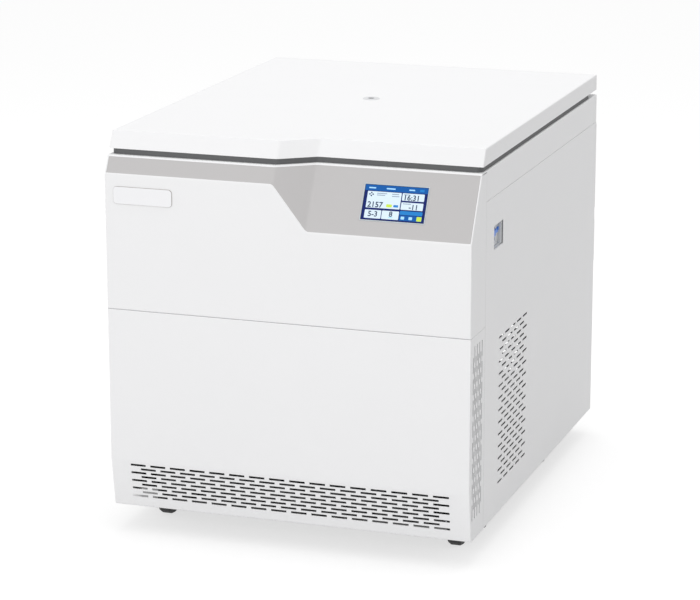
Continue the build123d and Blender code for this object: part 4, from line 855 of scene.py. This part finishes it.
@dataclass
class ScrewSet:
    """Button head screws with hexagon sockets, set on a flat part of the cabinet.

    Attributes:
        piece: The piece's name.
        places: Where each head seats.
        facing: The way the heads look.
        head_radius: Radius of a head.
        head_height: Height of a head.
        profile: Radius and height of each ring of a head, as shares of its own.
        socket_sides: Sides of the socket.
        socket_radius: Radius of the socket's corners, as a share of the head's.
        socket_floor: Height of the socket's floor, as a share of the head's.
        sides: Segments round a head, a multiple of the socket's sides.
        sharp_turn: Turn in degrees from which an edge is shaded sharp.
        seed: Seed of the turn of each socket.
    """

    piece: str
    places: Sequence[Triple]
    facing: Triple
    head_radius: float = 3.6 * MM
    head_height: float = 2.0 * MM
    profile: tuple[tuple[float, float], ...] = ((1.0, 0.0), (1.0, 0.35), (0.82, 0.78), (0.58, 1.0))
    socket_sides: int = 6
    socket_radius: float = 0.42
    socket_floor: float = 0.45
    sides: int = 18
    sharp_turn: float = 40.0
    seed: int = 4

    def build(self) -> Object:
        """Set one head on every place with Geometry Nodes and keep the result as a plain mesh.

        Returns:
            The screws, riding on the cabinet.
        """
        head = add_piece(f"{self.piece}_head", self._head_mesh())
        points = bpy.data.meshes.new(self.piece)
        points.from_pydata(self.places, [], [])
        carrier = add_piece(self.piece, points)
        run_nodes(carrier, self._tree(material_of(STAINLESS)),
                  {"Head": head, "Radius": self.head_radius, "Facing": self.facing})
        bpy.data.objects.remove(head)
        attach(carrier, "cabinet")
        return carrier

    def _head_mesh(self) -> Mesh:
        """Turn the profile of a button head of unit radius, with a hexagon socket.

        Returns:
            The head's mesh, seated on the origin and looking up.
        """
        tall = self.head_height / self.head_radius
        work = bmesh.new()
        loops = [self._ring(work, radius, level * tall, self.sides)
                 for radius, level in self.profile]
        work.faces.new(loops[0][::-1])
        for lower, upper in zip(loops, loops[1:]):
            join_loops(work, upper, lower)
        mouth, floor = (
            self._ring(work, self.socket_radius, level * tall, self.socket_sides)
            for level in (1.0, self.socket_floor))
        step = self.sides // self.socket_sides
        for side in range(-1, self.socket_sides - 1):
            arc = [loops[-1][(side * step + k) % self.sides] for k in range(step + 1)]
            work.faces.new((*arc, mouth[side + 1], mouth[side]))
        join_loops(work, mouth, floor)
        work.faces.new(floor)
        mesh = keep_mesh(work, "screw_head")
        for polygon in mesh.polygons:
            polygon.use_smooth = True
        mesh.set_sharp_from_angle(angle=math.radians(self.sharp_turn))
        return mesh

    @staticmethod
    def _ring(work: BMesh, radius: float, level: float, count: int) -> list[BMVert]:
        """Return a new level ring of vertices."""
        angles = [math.tau * k / count for k in range(count)]
        return [work.verts.new((radius * math.cos(a), radius * math.sin(a), level)) for a in angles]

    def _tree(self, material: Material) -> NodeTree:
        """Build the tree that sets a head on every point.

        Args:
            material: The screws' material.

        Returns:
            The node tree.
        """
        tree, entry, leave = new_group(
            "screws_on_points", "GeometryNodeTree",
            {"Geometry": "Geometry", "Head": "Object", "Radius": "Float", "Facing": "Vector"},
            {"Geometry": "Geometry"})
        head = add_node(tree, "GeometryNodeObjectInfo", {"Object": entry["Head"]})
        align = add_node(tree, "FunctionNodeAlignRotationToVector", {"Vector": entry["Facing"]},
                         axis="Z")
        place = add_node(tree, "GeometryNodeInstanceOnPoints",
                         {"Points": entry["Geometry"], "Instance": head.outputs["Geometry"],
                          "Rotation": align.outputs["Rotation"], "Scale": entry["Radius"]})
        chance = add_node(tree, "FunctionNodeRandomValue", {"Seed": self.seed}, data_type="FLOAT")
        low, high = (s for s in chance.inputs if s.type == "VALUE" and s.name in ("Min", "Max"))
        low.default_value, high.default_value = 0.0, math.tau / self.socket_sides
        value = next(s for s in chance.outputs if s.type == "VALUE")
        spin = add_node(tree, "ShaderNodeCombineXYZ", {"Z": value})
        turn = add_node(tree, "GeometryNodeRotateInstances",
                        {"Instances": place.outputs["Instances"], "Rotation": spin.outputs[0]})
        send_out(tree, turn.outputs["Instances"], material, leave)
        return tree


@dataclass
class BreakerSurround:
    """Moulded frame round the toggle and button of the circuit breaker, behind its window.

    Attributes:
        breaker: The breaker's CAD node.
        nose_height: Height of the nose that the frame goes round.
        proud: How far the frame stands before the nose.
        gap: Play round the nose.
        cover: How far the frame covers the nose at its back end.
        reach_back: How far the frame runs past the nose towards the back.
        reach_front: How far it runs past the nose towards the front.
        reach_up: How far it runs above and below the nose.
        thickness: Thickness of the frame.
        corner: Radius of its outer corners.
        inner_corner: Radius of its inner corners.
    """

    breaker: str = "circuit_breaker"
    nose_height: float = 45.0 * MM
    proud: float = 6.0 * MM
    gap: float = 0.3 * MM
    cover: float = 8.0 * MM
    reach_back: float = 20.0 * MM
    reach_front: float = 6.0 * MM
    reach_up: float = 7.0 * MM
    thickness: float = 5.9 * MM
    corner: float = 4.0 * MM
    inner_corner: float = 0.6 * MM

    def build(self) -> Object:
        """Make the frame as one closed ring.

        Returns:
            The frame, riding on the cabinet.
        """
        low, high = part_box(self.breaker)
        middle, half = (low.z + high.z) / 2, self.nose_height / 2
        tall, short = half + self.reach_up, half + self.gap
        outer = rounded_rectangle(low.y - self.reach_front, high.y + self.reach_back,
                                  middle - tall, middle + tall, self.corner)
        inner = rounded_rectangle(low.y - self.gap, high.y - self.cover,
                                  middle - short, middle + short, self.inner_corner)
        face = high.x + self.proud
        back = face - self.thickness
        work = bmesh.new()
        loops = [[work.verts.new((x, y, z)) for y, z in points]
                 for points, x in ((outer, face), (inner, face), (inner, back), (outer, back))]
        for loop, after in zip(loops, loops[1:] + loops[:1]):
            join_loops(work, loop, after)
        piece = add_piece("breaker_surround", keep_mesh(work, "breaker_surround"))
        dress(piece, LIGHT_PLASTIC)
        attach(piece, "cabinet")
        return piece


@dataclass
class CondenserFins:
    """Thin upright fins in the condenser's half towards the front.

    Attributes:
        node: The condenser's CAD node.
        pitch: Distance from fin to fin.
        sheet: Thickness of a fin.
        setback: How far the fins stay behind the block's faces.
    """

    node: str = "condenser"
    pitch: float = 3.2 * MM
    sheet: float = 0.4 * MM
    setback: float = 0.5 * MM

    def build(self) -> Object:
        """Line the fins up with Geometry Nodes and keep the result as a plain mesh.

        Returns:
            The fins, riding on the cabinet.
        """
        low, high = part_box(self.node)
        depth = (high.y - low.y) / 2 - self.setback
        count = int((high.x - low.x - 2 * self.setback) / self.pitch)
        first = ((low.x + high.x - (count - 1) * self.pitch) / 2,
                 low.y + self.setback + depth / 2, (low.z + high.z) / 2)
        carrier = add_piece("condenser_fins", bpy.data.meshes.new("condenser_fins"))
        run_nodes(carrier, self._tree(material_of(ALUMINIUM)), {
            "Count": count, "Pitch": (self.pitch, 0.0, 0.0), "First": first,
            "Size": (self.sheet, depth, high.z - low.z - 2 * self.setback)})
        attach(carrier, "cabinet")
        return carrier

    @staticmethod
    def _tree(material: Material) -> NodeTree:
        """Build the tree that lines the fins up.

        Args:
            material: The fins' material.

        Returns:
            The node tree.
        """
        tree, entry, leave = new_group(
            "fin_line", "GeometryNodeTree",
            {"Geometry": "Geometry", "Count": "Int", "Pitch": "Vector", "First": "Vector",
             "Size": "Vector"},
            {"Geometry": "Geometry"})
        line = add_node(tree, "GeometryNodeMeshLine",
                        {"Count": entry["Count"], "Start Location": entry["First"],
                         "Offset": entry["Pitch"]}, mode="OFFSET")
        fin = add_node(tree, "GeometryNodeMeshCube", {"Size": entry["Size"]})
        place = add_node(tree, "GeometryNodeInstanceOnPoints",
                         {"Points": line.outputs["Mesh"], "Instance": fin.outputs["Mesh"]})
        send_out(tree, place.outputs["Instances"], material, leave)
        return tree


@dataclass
class Studio:
    """Camera, lights, floor and background of the product picture.

    Attributes:
        azimuth: Camera direction in degrees, from straight in front.
        elevation: Camera height above the horizon in degrees.
        roll: Camera roll in degrees.
        position: Camera position in metres.
        sensor: Width of the camera's sensor in millimetres.
        lens: Focal length in millimetres.
        sight: How far the camera sees.
        fill: Strength of the even light from all round.
        backdrop: Strength of the background where it is seen.
        lamps: Name, place, target, width and watts of each soft lamp.
        floor_reach: How far the floor runs each way.
        floor_drop: How far the floor lies below the feet.
        floor_lift: Light that the floor adds of its own where it is seen.
        floor_colour: Shade of the floor for the light that it throws back.
        floor_seen: Shade of the floor where it is seen.
        painted_shade_sides: Direction across and along, and distance, of each side of the painted
            shade patch under the cabinet and beside its left side, where the floor has no lift.
        painted_shade_edge: Width of the painted shade patch's soft edge.
    """

    azimuth: float = 18.82
    elevation: float = 14.43
    roll: float = -0.07
    position: Triple = (1.7795, -5.3203, 1.83665)
    sensor: float = 36.0
    lens: float = 141.18
    sight: float = 60.0
    fill: float = 0.72
    backdrop: float = 1.0
    lamps: tuple[tuple[str, Triple, Triple, float, float], ...] = (
        ("front_softbox", (-0.4, -5.2, 1.5), (0.0, 0.0, 0.4), 3.0, 78.0),
        ("top_softbox", (0.1, 0.6, 4.4), (0.0, 0.0, 0.6), 3.4, 52.0))
    floor_reach: float = 14.0
    floor_drop: float = 0.5 * MM
    floor_lift: float = 0.66
    floor_colour: float = 0.61
    floor_seen: float = 0.42
    painted_shade_sides: tuple[Triple, ...] = (
        (1.0, 0.0, 0.32), (0.0, 1.0, 0.48), (0.03, -1.0, 0.283), (-1.0, 0.0, 0.445),
        (-0.947, -0.323, 0.485))
    painted_shade_edge: float = 0.015

    def build(self) -> None:
        """Set the whole studio up."""
        bpy.context.scene.view_settings.view_transform = "Standard"
        self._camera()
        self._world()
        self._floor()
        for name, place, target, size, power in self.lamps:
            data = bpy.data.lights.new(name, "AREA")
            data.size, data.energy = size, power
            lamp = add_piece(name, data)
            lamp.location = place
            aim = Vector(target) - Vector(place)
            lamp.rotation_euler = aim.to_track_quat("-Z", "Y").to_euler()

    def _camera(self) -> None:
        """Place the camera as the picture was taken."""
        data = bpy.data.cameras.new("product_camera")
        data.sensor_width = self.sensor
        data.lens = self.lens
        data.clip_end = self.sight
        camera = add_piece("product_camera", data)
        turn, rise = math.radians(self.azimuth), math.radians(self.elevation)
        back = Vector((math.sin(turn) * math.cos(rise), -math.cos(turn) * math.cos(rise),
                       math.sin(rise)))
        right = Vector((math.cos(turn), math.sin(turn), 0.0))
        axes = Matrix((right, back.cross(right), back)).transposed().to_4x4()
        tilt = Matrix.Rotation(math.radians(self.roll), 4, "Z")
        camera.matrix_world = Matrix.Translation(self.position) @ axes @ tilt
        bpy.context.scene.camera = camera

    def _world(self) -> None:
        """Even pale surroundings that show as white to the camera and in reflections."""
        world = bpy.data.worlds.new("pale_studio")
        bpy.context.scene.world = world
        world.use_nodes = True
        tree = world.node_tree
        tree.nodes.clear()
        fill, white = (add_node(tree, "ShaderNodeBackground", {"Color": WHITE, "Strength": level})
                       for level in (self.fill, self.backdrop))
        mix = add_node(tree, "ShaderNodeMixShader",
                       {0: self._seen_directly(tree), 1: fill.outputs[0], 2: white.outputs[0]})
        add_node(tree, "ShaderNodeOutputWorld", {"Surface": mix.outputs[0]})

    @staticmethod
    def _seen_directly(tree: NodeTree) -> NodeSocket:
        """Tell the rays that see the background from those that carry its light.

        Args:
            tree: The nodes of the world or material.

        Returns:
            A socket that is one for camera, glossy and transmission rays.
        """
        ray = add_node(tree, "ShaderNodeLightPath").outputs
        total = ray["Is Camera Ray"]
        for name in ("Is Glossy Ray", "Is Transmission Ray"):
            total = calculate(tree, "MAXIMUM", total, ray[name])
        return total

    def _floor(self) -> None:
        """Wide white floor that keeps the object's soft shadow, with a painted shade patch under
        the cabinet.
        """
        mesh = bpy.data.meshes.new("studio_floor")
        corners = ((-1, -1), (1, -1), (1, 1), (-1, 1))
        mesh.from_pydata([(x * self.floor_reach, y * self.floor_reach, 0.0) for x, y in corners],
                         [], [(0, 1, 2, 3)])
        floor = add_piece("studio_floor", mesh)
        floor.location.z = -self.floor_drop
        material = bpy.data.materials.new("white_floor")
        material.use_nodes = True
        tree = material.node_tree
        tree.nodes.clear()
        seen = self._seen_directly(tree)
        shade = calculate(tree, "MULTIPLY_ADD", seen, self.floor_seen - self.floor_colour,
                          self.floor_colour)
        matt = add_node(tree, "ShaderNodeBsdfDiffuse", {"Color": shade})
        # Painted shade: the floor's lift is left out under the cabinet and beside its left side, so
        # the floor seen there stays dark.
        strength = calculate(tree, "MULTIPLY", seen, self._lift_outside_painted_shade(tree))
        lift = add_node(tree, "ShaderNodeEmission", {"Color": WHITE, "Strength": strength})
        total = add_node(tree, "ShaderNodeAddShader", {0: matt.outputs[0], 1: lift.outputs[0]})
        add_node(tree, "ShaderNodeOutputMaterial", {"Surface": total.outputs[0]})
        mesh.materials.append(material)

    def _lift_outside_painted_shade(self, tree: NodeTree) -> NodeSocket:
        """Leave the floor's own light out under the cabinet and beside its left side: a painted
        shade patch.

        Args:
            tree: The nodes of the floor's material.

        Returns:
            A socket with the lift, which falls to nought under the cabinet.
        """
        place = object_place(tree)
        beyond = None
        for across, along, distance in self.painted_shade_sides:
            away = add_node(tree, "ShaderNodeVectorMath", {0: place, 1: (across, along, 0.0)},
                            operation="DOT_PRODUCT")
            over = calculate(tree, "SUBTRACT", away.outputs["Value"], distance)
            beyond = over if beyond is None else calculate(tree, "MAXIMUM", beyond, over)
        return add_node(tree, "ShaderNodeMapRange", {
            "Value": beyond, "From Min": -self.painted_shade_edge, "From Max": self.painted_shade_edge,
            "To Max": self.floor_lift}).outputs["Result"]


SHEET_COVERS = (
    SheetCover("front_lower_cover", "lower_cover_skin"),
    SheetCover("front_upper_cover", "upper_cover_skin"),
    SheetCover("side_panel_left", "left_panel_skin"),
    SheetCover("side_panel_right", "right_panel_skin"),
    SheetCover("rear_panel", "rear_panel_skin", bend_radius=0.0),
    SheetCover("rear_covers", "rear_cover_skins"),
    SheetCover("deck", "deck_skin"),
    SheetCover("lid_shell", "lid_skin", body="lid", bend_radius=3.5 * MM),
    SheetCover("control_panel", "panel_skin", "grey_panel", GREY_PANEL, bend_radius=0.0),
    BadgePlate("badge_plate", "badge_skin"),
)


def screw_sets() -> list[ScrewSet]:
    """Place the screws that a service engineer would see.

    Returns:
        One set for each part that is screwed down.
    """
    low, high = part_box("rear_panel")
    inset, upper_row, gaps = 14.0 * MM, 318.0 * MM, 4
    step = (high.x - low.x - 2 * inset) / gaps
    rear = [(low.x + inset + k * step, high.y, low.z + rise)
            for k in range(gaps + 1) for rise in (inset, upper_row)]
    low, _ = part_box("hinge_bases")
    centre, spacing, from_edge, leaf = 230.0 * MM, 33.0 * MM, 8.0 * MM, 2.0 * MM
    hinge = [(side * (centre + place * spacing), low.y + from_edge, low.z + leaf)
             for side in (-1, 1) for place in (-1, 0, 1)]
    low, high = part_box("control_box")
    corner = 12.0 * MM
    box = [(x, low.y, z) for x in (low.x + corner, high.x - corner)
           for z in (low.z + corner, high.z - corner)]
    return [
        ScrewSet("rear_panel_screws", rear, (0.0, 1.0, 0.0)),
        ScrewSet("hinge_screws", hinge, (0.0, 0.0, 1.0), head_height=1.6 * MM),
        ScrewSet("control_box_screws", box, (0.0, -1.0, 0.0)),
    ]


def dress_nodes(replaced: Iterable[str]) -> None:
    """Dress every CAD node that stays.

    Args:
        replaced: The nodes that other pieces stand for.
    """
    for name in sorted(set(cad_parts) - set(replaced)):
        finish = NODE_FINISHES.get(name, LIGHT_PLASTIC)
        dress(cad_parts[name], finish)
        log.info("dressed %s with %s", name, finish.name)


def main() -> None:
    """Build the studio, the covers and the small parts, and dress the object."""
    logging.basicConfig(level=logging.INFO, format="%(message)s")
    Studio().build()
    for part in (*SHEET_COVERS, Display(), BreakerSurround(), *screw_sets(), CondenserFins()):
        piece = part.build()
        log.info("%s: %d faces", piece.name, len(piece.data.polygons))
    dress_nodes(cover.node for cover in SHEET_COVERS)


if __name__ == "__main__":
    main()
